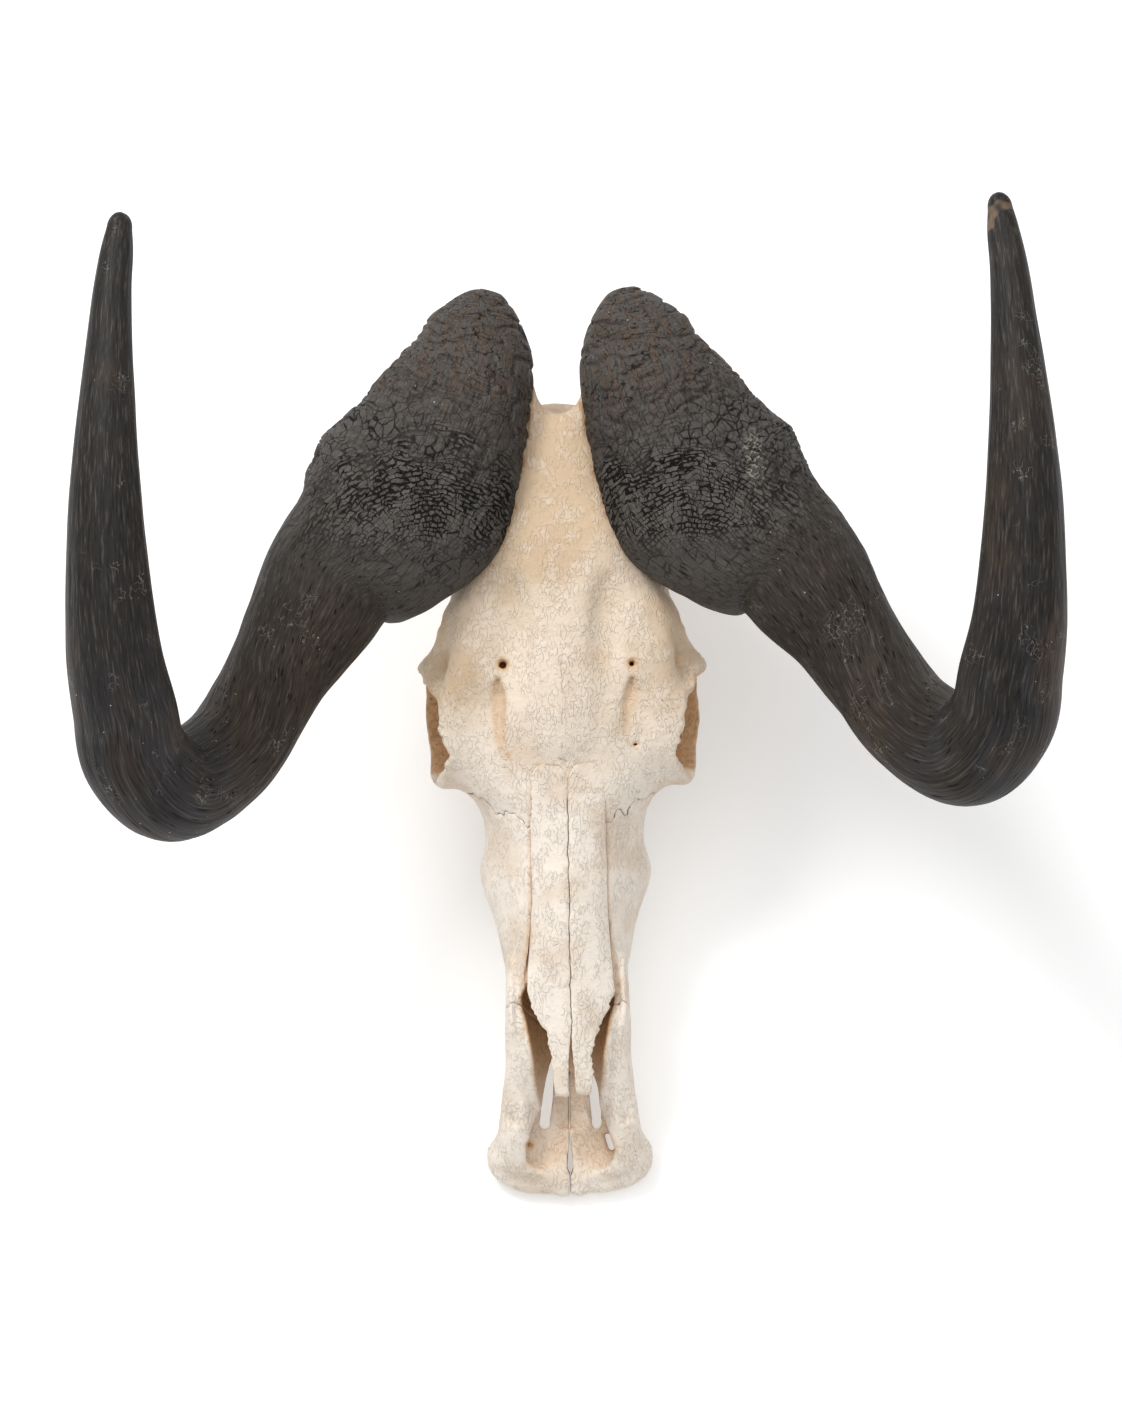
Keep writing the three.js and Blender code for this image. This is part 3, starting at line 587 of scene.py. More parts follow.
# %% Back and base
rod([[0, 282, -104], [0, 320, -120], [0, 360, -134], [0, 400, -136]], [9, 11, 14, 16], blend=8,
    flat=(1.2, 1, 0.8))
rod([[-45, 395, -104], [-38, 403, -80], [-20, 408, -62], [0, 409, -56], [20, 408, -62], [38, 403, -80],
     [45, 395, -104]], 5.0, blend=9, steps=19)
rod([[0, 410, -58], [0, 413, -84], [0, 412, -104]], [3.5, 2.5, 2], blend=8)
pair(rod, [[20, 376, -66], [42, 384, -34], [68, 384, 6]], [25, 28, 30], blend=14, steps=6)
pair(blob, [17, 406, -133], [13.5, 17, 19], blend=6)
pair(rod, [[40, 388, -112], [39.5, 383, -140], [37, 379, -172], [37, 378, -190]], [13, 10, 7, 6], blend=9,
     flat=(0.8, 1, 1))
pair(blob, [26, 350, -132], [11, 18, 14], blend=4)
pair(rod, [[17, 215, -97], [16, 240, -112], [14, 272, -120]], [8, 7, 5], blend=3, flat=(0.45, 1, 1.8))
pair(blob, [15, 413, -6], [8, 12.5, 13], blend=5)
blob(np.array([0, 420, -119]), [12.5, 36, 12.5], blend=3, take=True, tan=1.0)
blob(np.array([0, 245, -116]), [12, 46, 26], blend=3, take=True, tan=1.0)
blob(np.array([1.0, 424, 0]), [12.5, 15.5, 60], blend=2, take=True)
print("back and base,", volume(), "cubic centimetres")

# %% [markdown]
# ## Muzzle
#
# Each premaxilla is a bar beside the nose opening that spreads into a broad, thick-edged lip in front, with a
# rail along the palate. The opening is one long hollow; two slots and two small holes go right through the
# floor of the nose behind the lip.

# %% Premaxillae and nose opening
NOSE_BAR_U = [6, 16, 30, 58, 76, 97, 126]
NOSE_BAR_X = [24, 26.2, 26.8, 25.8, 25.2, 27.4, 27.2]
NOSE_BAR_W = [-44, -41, -39, -36, -32, -28, -27]
NOSE_BAR_HALF = [8, 12.0, 11, 8.4, 7.0, 4.6, 4]
NOSE_BAR_UP = [3, 8, 12, 16, 17, 17, 11]
NOSE_BAR_DOWN = [3, 6, 9, 13, 15, 17, 14]
CAVITY_U = [34, 56, 76, 92, 104, 112, 135, 160, 178]
CAVITY_HALF = [14.5, 17.2, 18.2, 21.5, 24.0, 21.0, 17, 12, 5]
CAVITY_TOP = [20, 20, 20, 20, 16, -4, -9, -12, -20]
CAVITY_WIDEST = [-22, -16, -15, -15, -18, -24, -28, -28, -29]
CAVITY_BASE = [-45, -46, -45, -45, -48, -50, -52, -50, -40]
LIP_CENTRE = (14, 18.7)
LIP_REACH = (30.3, 20.0)


def nose_bar(side):
    """Superellipse section carried along u, leaning a little outward with height."""
    def form(x, u, w):
        middle, level, half, up, down = spread(
            NOSE_BAR_U, u, NOSE_BAR_X, NOSE_BAR_W, NOSE_BAR_HALF, NOSE_BAR_UP, NOSE_BAR_DOWN)
        off = side * x - middle - 0.12 * (w - level)
        d = section(off, w, half, level + up, level, level - down, 1.8, 2.4)
        return -melt(-d, np.minimum(u - NOSE_BAR_U[0], NOSE_BAR_U[-1] - u), 4.0)

    join(form, *side_box(side, 2, 58, (-12, -70), (138, 4)), 3.0)


def lip(side):
    """Flat elliptic plate, thick along its front edge and thinner behind it."""
    def form(x, u, w):
        qx, qu = (side * x - LIP_CENTRE[0]) / LIP_REACH[0], (u - LIP_CENTRE[1]) / LIP_REACH[1]
        q = np.sqrt(qx**2 + qu**2)
        level = -44.5 + 0.10 * (u - 10) - 0.0022 * (side * x - 18) ** 2
        thick = 6.2 - 3.2 * ramp(u, 9, 17)
        return -melt(-(q - 1) * LIP_REACH[1], thick - np.abs(w - level), 5.0)

    join(form, *side_box(side, -20, 60, (-14, -66), (52, -22)), 4.0)


def nose_opening(x, u, w):
    half, top, widest, base = spread(CAVITY_U, u, CAVITY_HALF, CAVITY_TOP, CAVITY_WIDEST, CAVITY_BASE)
    d = section(x, w, half, top, widest, base, 3.2, 1.9)
    return np.maximum(d, np.maximum(CAVITY_U[0] - u, u - CAVITY_U[-1]))


for side in (1, -1):
    nose_bar(side)
    lip(side)
pair(rod, [[4.8, 2, -43], [4.8, 36, -45], [4.8, 92, -50]], 4.5, blend=2.5, flat=(1, 1, 0.85))
join(lambda x, u, w: np.maximum(np.maximum(np.abs(x) - 25, np.abs(u - 68) - 32), np.abs(w + 50) - 3.2),
     (-32, 28, -60), (32, 108, -40), 3.0)
pair(rod, [[38, 17, -41], [29, 15, -38], [16, 10, -40], [5, 6, -42]], [3.0, 3.6, 3.4, 2.6], blend=4)
hollow(nose_opening, (-34, 24, -62), (34, 190, 24), 3.0, 1.0)
stain *= (0.4 + 0.6 * ramp(AXES[1], 44, 84)).reshape(1, -1, 1).astype(np.float32)
pair(blob, [14, 27, -37], [13, 13, 6.5], blend=4, take=True, tan=0.35)
THROUGH = (1, 1, 9)
rod([[-13.3, 36, -50], [-11.2, 51.5, -50], [-8.8, 70, -50]], [2.6, 2.9, 0.9], blend=2.0, take=True,
    flat=THROUGH)
rod([[14.3, 36, -50], [13.5, 51, -50], [13.0, 63, -50]], [2.4, 2.9, 1.0], blend=2.0, take=True, flat=THROUGH)
rod([[-21.4, 26, -30], [-21.4, 24, -60]], 1.0, blend=1.2, take=True, tan=1.0)
rod([[20, 29, -44], [22, 23, -44]], 1.8, blend=1.4, take=True, flat=THROUGH, tan=0.6)
pair(rod, [[30, 40, -26], [29, 62, -17], [29, 84, -12]], [2.2, 2.6, 1.5], blend=5, take=True)
print("muzzle,", volume(), "cubic centimetres")

# %% [markdown]
# ## Tooth ridges, nasal slot and floor
#
# The cheek teeth stand in a swollen ridge. The two nasal bones lie in a slot of the roof, so that slot is
# taken out here, a hair wider than the bones above and a fissure wider below. A fine ripple roughens all the
# bone, and last, everything below the floor is ground away.

# %% Ridges, slot and floor
TOOTH_LENGTHS = [10, 11.5, 13.5, 17.5, 19, 18.5]
TOOTH_START = 122.0
TOOTH_ROW = (25.5, 31.0)
TOOTH_WIDTH = 15.5
NASAL_U = [54, 72, 84, 92, 100, 107, 113, 130, 150, 190, 217, 229]
NASAL_HALF = [9.6, 10.8, 12.6, 15.8, 20.2, 22.6, 22.8, 21.4, 20.4, 20.0, 19.6, 19.6]
NASAL_TOP = [-7, -4.5, -3.2, -2.8, -2.5, -2.2, -2, -1, 0, 1.8, 3.0, 3.8]
NASAL_SHIFT = 1.8
NASAL_THICK = 5.0
NASAL_END = 228.6
LOBE_MIDDLE = 9.8


def tooth_line(u):
    """Distance x of the tooth row from the midline at a place u."""
    return TOOTH_ROW[0] + (TOOTH_ROW[1] - TOOTH_ROW[0]) * (u - TOOTH_START) / sum(TOOTH_LENGTHS)


def nasal_edges(u):
    """Inner and outer edge of a nasal bone from the line between the two; its upper end is a round lobe."""
    lobe = np.sqrt(1 - np.clip((u - 216.5) / 12.2, 0, 0.999) ** 2)
    outer = along(NASAL_U, NASAL_HALF, u)
    return LOBE_MIDDLE * (1 - lobe), LOBE_MIDDLE + (outer - LOBE_MIDDLE) * lobe


def nasal_crown(off, u):
    """Level w of a nasal bone: free and arched in front, flush with the roof beside it further up."""
    free = along(NASAL_U, NASAL_TOP, u) - 4.6 * (off / 21) ** 2
    return free + (roof(off, np.maximum(u, 90)) + 0.15 - free) * ramp(u, 104, 140)


def nasal_slot(x, u, w):
    at = np.clip(u, NASAL_U[0], NASAL_END)
    inner, outer = nasal_edges(at)
    off = np.abs(x - NASAL_SHIFT)
    fissure = 1.4 * ramp(-u, -138, -112) - 0.9 * ramp(u, 136, 160) - 1.2 * ramp(u, 195, 215)
    across = np.maximum(off - outer - fissure, inner + 0.4 + 1.2 * ramp(u, 205, 218) - off)
    return np.maximum(np.maximum(across, nasal_crown(off, at) - NASAL_THICK + 0.4 - w), u - 225.5)


ridge_u = np.array([104.0, 136, 168, 200, 228])
ridge = np.stack([tooth_line(ridge_u), ridge_u, along(BODY_U, BODY_BASE, ridge_u) + 2], axis=-1)
pair(rod, ridge, [5, 10, 10.5, 10.5, 5], blend=7)
bone += 0.4 * ripple(13, 1) + 0.2 * ripple(4.5, 2)
hollow(nasal_slot, (-32, 50, -24), (32, 236, 24), 0.6, 0.6)
_, (_, grid_u, grid_w) = window(*WHOLE_GRID)
bone[:] = np.maximum(bone, floor_level(grid_u) - grid_w)
print("all bone,", volume(), "cubic centimetres")

# %% [markdown]
# ## From field to bones
#
# Real skulls part along sutures, wavy seams where two bones grew together. Here each suture is a plane with
# waves on it, and each bone takes the field on its own side, kept a hair apart, so the seam is a true gap. A
# volume mesher then draws the surface where the field is zero. The cavity value of a point is the share of
# bone near it: more than half means a hollow, which the bone finish paints tan, partly as the stain a real
# skull keeps there and partly as painted shade.

# %% Cavity fields


def blurred(values, reach):
    """Running mean over a cube of the given half-size in grid steps."""
    for axis in (0, 1, 2):
        pad = [(0, 0)] * 3
        pad[axis] = (reach + 1, reach)
        total = np.cumsum(np.pad(values, pad, mode="edge"), axis=axis, dtype=np.float32)
        n = values.shape[axis]
        values = (np.take(total, np.arange(2 * reach + 1, 2 * reach + 1 + n), axis=axis)
                  - np.take(total, np.arange(0, n), axis=axis)) / (2 * reach + 1)
    return values


solid = np.clip(0.5 - bone / STEP, 0, 1)
cavity_fine = blurred(blurred(solid, 1), 2)
cavity_wide = blurred(blurred(solid, 6), 6)


def sampled(values, points):
    """Value of a grid at points between its own, blended from the eight corners round each."""
    q = np.stack([(points[:, k] - AXES[k][0]) / STEP for k in range(3)], axis=-1)
    i = np.clip(np.floor(q).astype(int), 0, np.array(values.shape) - 2)
    f = np.clip(q - i, 0, 1)
    total = 0.0
    for corner in CORNERS:
        j = i + corner
        total = total + np.prod(np.where(corner, f, 1 - f), axis=-1) * values[j[:, 0], j[:, 1], j[:, 2]]
    return total


print("cavity from", round(float(cavity_wide.min()), 2), "to", round(float(cavity_wide.max()), 2))

# %% Bones from the field
SEAM = 0.01


def nose_suture(x, u, w):
    return u - (108 + 0.5 * w) - 0.8 * np.sin(x * 0.9 + 0.4 * w)


def cheek_suture(x, u, w):
    far = np.abs(x)
    wave = 2.6 * np.sin(far * 0.52 + 1.3 * np.sin(x * 0.21)) + 1.1 * np.sin(x * 1.3 + 0.35 * w)
    run = 196 - 0.27 * w + 0.5 * np.clip(far - 26, 0, 20) - 16 * ramp(far, 46, 56)
    return u - run - wave - 1.2 * np.sin(w * 0.5)


def opposite(seam):
    return lambda x, u, w: -seam(x, u, w)


def midline(side):
    """Side of the midline, with a narrow wedge left open behind the front of the lip."""
    return lambda x, u, w: side * x - 0.12 - 1.3 * ramp(-u, -30, -14) * ramp(u, 8.5, 12.5)


def largest(points, triangles):
    """Keeps the connected surface with the most points; labels spread along edges until they settle."""
    label = np.arange(len(points))
    while True:
        low = label[triangles].min(axis=1)
        fresh = label.copy()
        for k in range(3):
            np.minimum.at(fresh, triangles[:, k], low)
        fresh = fresh[fresh]
        if np.array_equal(fresh, label):
            break
        label = fresh
    names, sizes = np.unique(label, return_counts=True)
    keep = label == names[sizes.argmax()]
    return points[keep], (np.cumsum(keep) - 1)[triangles[keep[triangles[:, 0]]]]


def near_horns():
    """Grid that is 1 on the horns' surfaces and fades to 0 within a few millimetres of them."""
    marked = np.zeros_like(bone)
    for name in ("horn_left", "horn_right"):
        points = np.empty(len(pieces[name].data.vertices) * 3, dtype=np.float32)
        pieces[name].data.vertices.foreach_get("co", points)
        x, y, z = points.reshape(-1, 3).T * 1000
        y, z = y - ALONG_FLOOR, z - FLOOR_DROP
        place = (x, y * np.cos(TILT) + z * np.sin(TILT), z * np.cos(TILT) - y * np.sin(TILT))
        i = [np.rint((p - a[0]) / STEP).astype(int) for p, a in zip(place, AXES)]
        held = np.all([(k >= 0) & (k < len(a)) for k, a in zip(i, AXES)], axis=0)
        marked[tuple(k[held] for k in i)] = 1
    return np.minimum(3.0 * blurred(blurred(marked, 1), 1), 1)


horn_rim = near_horns()


def bone_piece(name, seams):
    """Surface where the bone field, cut back to one side of each given seam, passes through zero."""
    _, place = window(*WHOLE_GRID)
    field = bone.copy()
    for seam in seams:
        field = np.maximum(field, SEAM - seam(*place))
    for axis in (0, 1, 2):
        np.moveaxis(field, axis, 0)[[0, -1]] = 5
    grid = openvdb.FloatGrid(6.0)
    grid.copyFromArray(np.clip(field, -6, 6).astype(np.float32))
    points, triangles, quads = grid.convertToPolygons(isovalue=0.0, adaptivity=0.015)
    points = points * STEP + np.array([a[0] for a in AXES])
    triangles = np.concatenate([triangles, quads[:, [0, 1, 2]], quads[:, [0, 2, 3]]])
    points, triangles = largest(points, triangles)
    store(new_piece(name, points, triangles), cavity=sampled(cavity_wide, points),
          groove=sampled(cavity_fine, points), rim=sampled(horn_rim, points), tan=sampled(stain, points))


bone_piece("cranium", [cheek_suture])
for name, side in SIDES:
    bone_piece(f"maxilla_{name}", [nose_suture, opposite(cheek_suture), midline(side)])
    bone_piece(f"premaxilla_{name}", [opposite(nose_suture), midline(side)])

# %% [markdown]
# ## Nasal bones
#
# Two long curved strips roof the nose. Each is a closed loop of points carried along the face: over the top
# from the inner to the outer edge, and back underneath. They are apart from the other bones, so the dark
# fissures beside them are real gaps.

# %% Nasals


def squared_off(value, power):
    """Raises the size of a number to a power and keeps its sign; a small power squares a circle off."""
    return np.sign(value) * np.abs(value) ** power


def nasal(name, side):
    """Loop of a rounded strip carried along u: crowned over its own middle, ragged in front."""
    rows, around = 240, 72
    u = (NASAL_U[0] + (NASAL_END - NASAL_U[0]) * np.linspace(0, 1, rows) ** 0.9)[:, None]
    inner, outer = nasal_edges(u)
    inner = inner + 0.06 + 1.6 * ramp(-u, -90, -60)
    turn = np.linspace(0, 2 * np.pi, around, endpoint=False)[None, :]
    middle, half = (inner + outer) / 2, (outer - inner) / 2
    end = np.sqrt(np.clip(1 - ((u - 141.3) / 87.4) ** 300, 0, 1))
    sx, sw = squared_off(np.cos(turn), 0.25), squared_off(np.sin(turn), 0.28)
    edge = np.concatenate([u, 0 * u + 31 * side, 0 * u], axis=1)
    chips = (0.9 * noise3(edge, 3.1) + 0.6 * noise3(edge, 1.4)) * ramp(-u[:, 0], -118, -100)
    chips = chips + 0.45 * noise3(edge, 2.3) * ramp(u[:, 0], 140, 200) * half[:, 0] / 10
    x = middle + half * sx + np.where(sx > 0, chips[:, None] * sx, 0)
    bulge = 0.5 - 0.35 * ramp(u, 150, 205)
    crown = nasal_crown(x, u) + bulge * (1 - ((x - middle) / half) ** 2) * ramp(half, 2, 8) + 0.05
    w = crown - NASAL_THICK / 2 + (NASAL_THICK / 2) * sw * end
    tip = np.stack([x, 0 * x + side * 13, 0 * x], axis=-1)
    broken = (1.5 * noise3(tip, 3.7) + 0.8 * noise3(tip, 1.3)) * ramp(-u, -62, -54)
    lobed = (1.3 * noise3(tip + 40, 4.2) + 0.5 * noise3(tip + 70, 1.9)) * ramp(u, 204, 226)
    line = np.concatenate([u, 0 * u + 7, 0 * u], axis=1)
    wander = (0.5 * noise3(line, 6.5) + 0.3 * noise3(line, 2.1))[:, None] * (1 - x / np.maximum(outer, 1))
    points = np.stack([side * x + NASAL_SHIFT + wander, u + broken + lobed, w], axis=-1).reshape(-1, 3)
    points = points + 0.16 * np.stack([noise3(points + k, 6) for k in (0, 50, 90)], axis=-1)
    points = with_poles(points.reshape(rows, around, 3))
    seam = np.append(np.broadcast_to(ramp(np.abs(sx), 0.965, 0.99), (rows, around)).ravel(), [0, 0])
    store(new_piece(f"nasal_{name}", points, tube_faces(rows, around)),
          cavity=0.45, groove=0.47 + 0.26 * seam, rim=0, tan=0)


for name, side in SIDES:
    nasal(name, side)

# %% [markdown]
# ## Cheek teeth
#
# Six grinding teeth stand in each cheek, larger toward the back, each with two lobes and upright ribs on its
# sides and worn ridges on its chewing face. One function makes a tooth from its length, and the row sets
# them edge to edge. They are carried by the upper jaw and take its place in the frame.

# %% Teeth


def tooth(u0, long, wide, x0, side, seed):
    """Rings of a ribbed, two-lobed outline from the root to the floor, then inward over the worn face."""
    around = 56
    turn = np.linspace(0, 2 * np.pi, around, endpoint=False)
    c, s = np.cos(turn), np.sin(turn)
    ribs = 1 - 0.10 * np.cos(2 * turn) ** 8 - 0.05 * np.abs(np.cos(3.5 * turn + seed))
    ring_x = squared_off(c, 0.6) * ribs * wide / 2
    ring_u = squared_off(s, 0.6) * long / 2
    scale = np.concatenate([np.linspace(0.86, 1, 9), [0.97, 0.86, 0.66, 0.46, 0.28, 0.12]])
    root = along(BODY_U, BODY_BASE, u0) + 14
    floor = floor_level(u0)
    deep = np.concatenate([np.linspace(0, 1, 9) ** 0.9, np.ones(6)])
    worn = np.concatenate([np.zeros(9), [0.1, 0.3, 1.4, 0.5, 1.5, 1.1]])
    w = root + (floor - root) * deep
    lean = np.tan(TILT) * 0.6 * (w - root)
    x = side * (x0 + scale[:, None] * ring_x)
    u = u0 + scale[:, None] * ring_u + lean[:, None]
    level = w[:, None] + worn[:, None] * (1 + 0.3 * np.cos(3 * turn + seed)) + 0 * u
    level = np.maximum(level, floor_level(u) + 0.05)
    return with_poles(np.stack([x, u, level], axis=-1)), tube_faces(len(scale), around)


def teeth(name, side):
    """Row of teeth set edge to edge on one side."""
    points, faces, count, u = [], [], 0, TOOTH_START
    for k, long in enumerate(TOOTH_LENGTHS):
        middle = u + long / 2
        wide = TOOTH_WIDTH * (0.72 + 0.28 * k / 5)
        p, f = tooth(middle, long - 0.7, wide, tooth_line(middle), side, 1.7 * k + side)
        points.append(p)
        faces.append(f + count)
        count += len(p)
        u += long
    store(new_piece(f"teeth_{name}", np.concatenate(points), np.concatenate(faces)),
          cavity=0.5, groove=0.5, rim=0, tan=0)


for name, side in SIDES:
    teeth(name, side)

# %% [markdown]
# ## Shader tools
#
# Colours are painted by node trees that read the place of a point, so nothing depends on the camera. Short
# helpers add nodes to the current tree and link or set their inputs, so a finish reads as a list of sums. Two
# effects serve both finishes and are node groups: the face frame again, now inside the shader, and scattered
# dots that are pores on bone, pale specks and dark dashes on horn.

# %% Node helpers


def add(kind, inputs=(), out=0, **settings):
    """Adds a node to the current tree; an input that is a socket is linked, any other value is set."""
    made = tree.nodes.new(kind)
    for key, value in settings.items():
        setattr(made, key, value)
    connect(made, inputs)
    return made.outputs[out]


def connect(node, inputs):
    """Links sockets and sets plain values on the named inputs of a node."""
    for key, value in dict(inputs).items():
        if isinstance(value, bpy.types.NodeSocket):
            tree.links.new(value, node.inputs[key])
        else:
            node.inputs[key].default_value = value


def calc(operation, a, b=0.0, clamp=False):
    return add("ShaderNodeMath", {0: a, 1: b}, operation=operation, use_clamp=clamp)


def times(a, b, *more):
    """Product of two or more values."""
    product = calc("MULTIPLY", a, b)
    return times(product, *more) if more else product


def plus(a, b, clamp=False):
    return calc("ADD", a, b, clamp)


def minus(a, b):
    return calc("SUBTRACT", a, b)


def apart(a, b):
    """Distance between two values."""
    return calc("ABSOLUTE", minus(a, b))


def step(value, low, high):
    """Smooth step of a value from 0 at low to 1 at high."""
    return add("ShaderNodeMapRange", {0: value, 1: low, 2: high}, interpolation_type="SMOOTHSTEP")


def noise(place, scale, detail=2.0, rough=0.5):
    """Noise of the given size in millimetres, about 0 to 1."""
    return add("ShaderNodeTexNoise", {"Vector": place, "Scale": 1.0 / scale, "Detail": detail,
                                      "Roughness": rough})


def mix(factor, a, b):
    return add("ShaderNodeMix", {0: factor, 6: a, 7: b}, out=2, data_type="RGBA")


def layer(under, share, mask, over):
    """Paints a colour over another where a mask says so, by at most the given share."""
    return mix(times(mask, share), under, (*over, 1))


def stretch(place, scale):
    return add("ShaderNodeMapping", {"Vector": place, "Scale": scale})


def kept(name, out=2):
    """Value, or with out=1 the vector, that each point of a piece keeps under a name."""
    return add("ShaderNodeAttribute", out=out, attribute_name=name)


def group(name, inputs, outputs):
    """Empty node group with named sockets; gives the tree and its two end nodes."""
    made = bpy.data.node_groups.new(name, "ShaderNodeTree")
    for sockets, way in ((inputs, "INPUT"), (outputs, "OUTPUT")):
        for label, kind in sockets:
            made.interface.new_socket(label, in_out=way, socket_type=kind)
    return made, made.nodes.new("NodeGroupInput"), made.nodes.new("NodeGroupOutput")


def place_group(made, values=()):
    """Puts a node group into the current tree with its own values."""
    node = tree.nodes.new("ShaderNodeGroup")
    node.node_tree = made
    connect(node, values)
    return node.outputs


VALUE, VECTOR = "NodeSocketFloat", "NodeSocketVector"
MILLIMETRES = (1000, 1000, 1000)
face_group, _, face_end = group(
    "face_frame", (), (("Place", VECTOR), ("X", VALUE), ("U", VALUE), ("W", VALUE)))
tree = face_group
local = add("ShaderNodeTexCoord", out=3)
back_u = -ALONG_FLOOR * np.cos(TILT) - FLOOR_DROP * np.sin(TILT)
back_w = ALONG_FLOOR * np.sin(TILT) - FLOOR_DROP * np.cos(TILT)
turned = add("ShaderNodeMapping", {"Vector": local, "Location": (0, back_u, back_w),
                                   "Rotation": (-TILT, 0, 0), "Scale": MILLIMETRES})
parts = add("ShaderNodeSeparateXYZ", {0: turned}).node.outputs
connect(face_end, {"Place": turned, **dict(zip("XUW", parts))})

dot_group, dot_in, dot_end = group("dots", (("Place", VECTOR), ("Spacing", VALUE), ("Size", VALUE),
                                            ("Share", VALUE)), (("Mask", VALUE),))
tree = dot_group
wanted = dot_in.outputs
cells = add("ShaderNodeTexVoronoi", {"Vector": wanted["Place"],
                                     "Scale": calc("DIVIDE", 1.0, wanted["Spacing"])}).node.outputs
picked = add("ShaderNodeSeparateColor", {0: cells["Color"]})
size = times(wanted["Size"], plus(picked.node.outputs[1], 0.4))
inside = step(cells["Distance"], size, times(size, 0.5))
connect(dot_end, {"Mask": times(inside, calc("LESS_THAN", picked, wanted["Share"]))})


def dots(place, spacing, size, share):
    """Mask of scattered round dots: their spacing, their size in spacings, and the share of them kept."""
    return place_group(dot_group, {"Place": place, "Spacing": spacing, "Size": size, "Share": share})[0]


print("node groups:", face_group.name, dot_group.name)

# %% [markdown]
# ## Bone finish
#
# Weathered bone is cream, greyer where it is most exposed along the nose, and honey-coloured between the
# horns. Hollows turn tan, partly stain and partly painted shade, and the deepest of them get a dark brown
# painted shade; tight creases and seams are painted darker brown. Fine curved scratches and pores cover it.
# The hollow and seam masks come from the cavity numbers kept at each point; the rest is noise.

# %% Bone material
bone_look = bpy.data.materials.new("bone")
bone_look.use_nodes = True
tree = bone_look.node_tree
shader = tree.nodes["Principled BSDF"]
place, px, pu, _ = place_group(face_group)

cloud = noise(place, 34, 2)
mottle = noise(place, 9, 3, 0.6)
grain = noise(place, 3.0, 3, 0.65)
colour = mix(step(pu, 260, 200), (0.815, 0.70, 0.57, 1), (0.885, 0.80, 0.705, 1))
upper = step(pu, 270, 385)
aside = calc("ABSOLUTE", px)
temple = times(step(aside, 24, 58), step(pu, 236, 272))
upper = calc("MAXIMUM", upper, times(temple, 0.75))
honey = plus(upper, times(step(cloud, 0.44, 0.66), 0.45), clamp=True)
colour = mix(honey, colour, (0.63, 0.47, 0.315, 1))
colour = layer(colour, 0.35, step(mottle, 0.45, 0.75), (0.90, 0.84, 0.75))
colour = layer(colour, 0.35, step(grain, 0.56, 0.75), (0.56, 0.43, 0.30))

strip = step(apart(px, 2.0), 26.0, 12.0)
grey = times(strip, step(pu, 60, 110), step(pu, 280, 200), step(mottle, 0.44, 0.66))
colour = layer(colour, 0.2, grey, (0.50, 0.46, 0.42))

lip_mask = times(step(pu, 26, 8), step(mottle, 0.3, 0.65))
colour = layer(colour, 0.08, lip_mask, (0.60, 0.46, 0.36))

worms = noise(stretch(place, (1.0, 0.5, 1.0)), 2.4, 1)
fine = times(step(apart(worms, 0.5), 0.05, 0.01), step(mottle, 0.36, 0.54))
lines = noise(stretch(place, (1.0, 0.6, 1.0)), 5.2, 2)
scratch = times(step(apart(lines, 0.5), 0.010, 0.002), step(mottle, 0.46, 0.56))
colour = layer(colour, 0.32, fine, (0.53, 0.40, 0.27))
colour = layer(colour, 0.34, scratch, (0.40, 0.28, 0.18))

cavity, groove, rim, inside = (kept(label) for label in ("cavity", "groove", "rim", "tan"))
# Tan in hollows: partly the stain a real skull keeps there, partly painted shade drawn from the cavity
# number.
hollow_tan_and_shade = step(plus(cavity, times(cloud, 0.12)), 0.58, 0.80)
hollow_tan_and_shade = calc("MAXIMUM", times(hollow_tan_and_shade, 0.6), inside)
wall = mix(step(grain, 0.4, 0.65), (0.67, 0.425, 0.225, 1), (0.53, 0.30, 0.135, 1))
colour = mix(times(hollow_tan_and_shade, 0.95), colour, wall)
# Painted shade: the deepest stained hollows are painted dark brown so that they read deeper.
colour = layer(colour, 0.7, times(step(cavity, 0.60, 0.74), inside), (0.22, 0.115, 0.05))
# Darker brown where the fine cavity number is high, in tight creases and seams.
colour = layer(colour, 0.8, step(groove, 0.58, 0.78), (0.20, 0.10, 0.04))
sinew = times(step(rim, 0.25, 0.8), step(mottle, 0.42, 0.56))
colour = layer(colour, 0.7, sinew, (0.43, 0.215, 0.075))

pores = times(dots(place, 3.1, 0.13, 0.34), step(cloud, 0.42, 0.55))
brow = times(step(aside, 44, 58), step(pu, 218, 226), step(pu, 276, 262))
pores = calc("MAXIMUM", pores, times(dots(place, 2.7, 0.2, 0.5), brow))
colour = layer(colour, 0.75, pores, (0.20, 0.12, 0.065))

midline_x = plus(px, times(minus(noise(place, 5, 1), 0.5), 4.0))
seam = step(calc("ABSOLUTE", midline_x), 0.5, 0.12)
seam = times(seam, step(pu, 228, 236), step(pu, 330, 280), step(mottle, 0.42, 0.55))
colour = layer(colour, 0.4, seam, (0.36, 0.25, 0.15))

height = minus(plus(mottle, times(grain, 0.7)), times(fine, 0.34))
bump = add("ShaderNodeBump", {"Height": height, "Strength": 0.75, "Distance": 0.001})
connect(shader, {"Base Color": colour, "Normal": bump, "Roughness": 0.62, "Specular IOR Level": 0.3})
print("bone finish:", len(tree.nodes), "nodes")

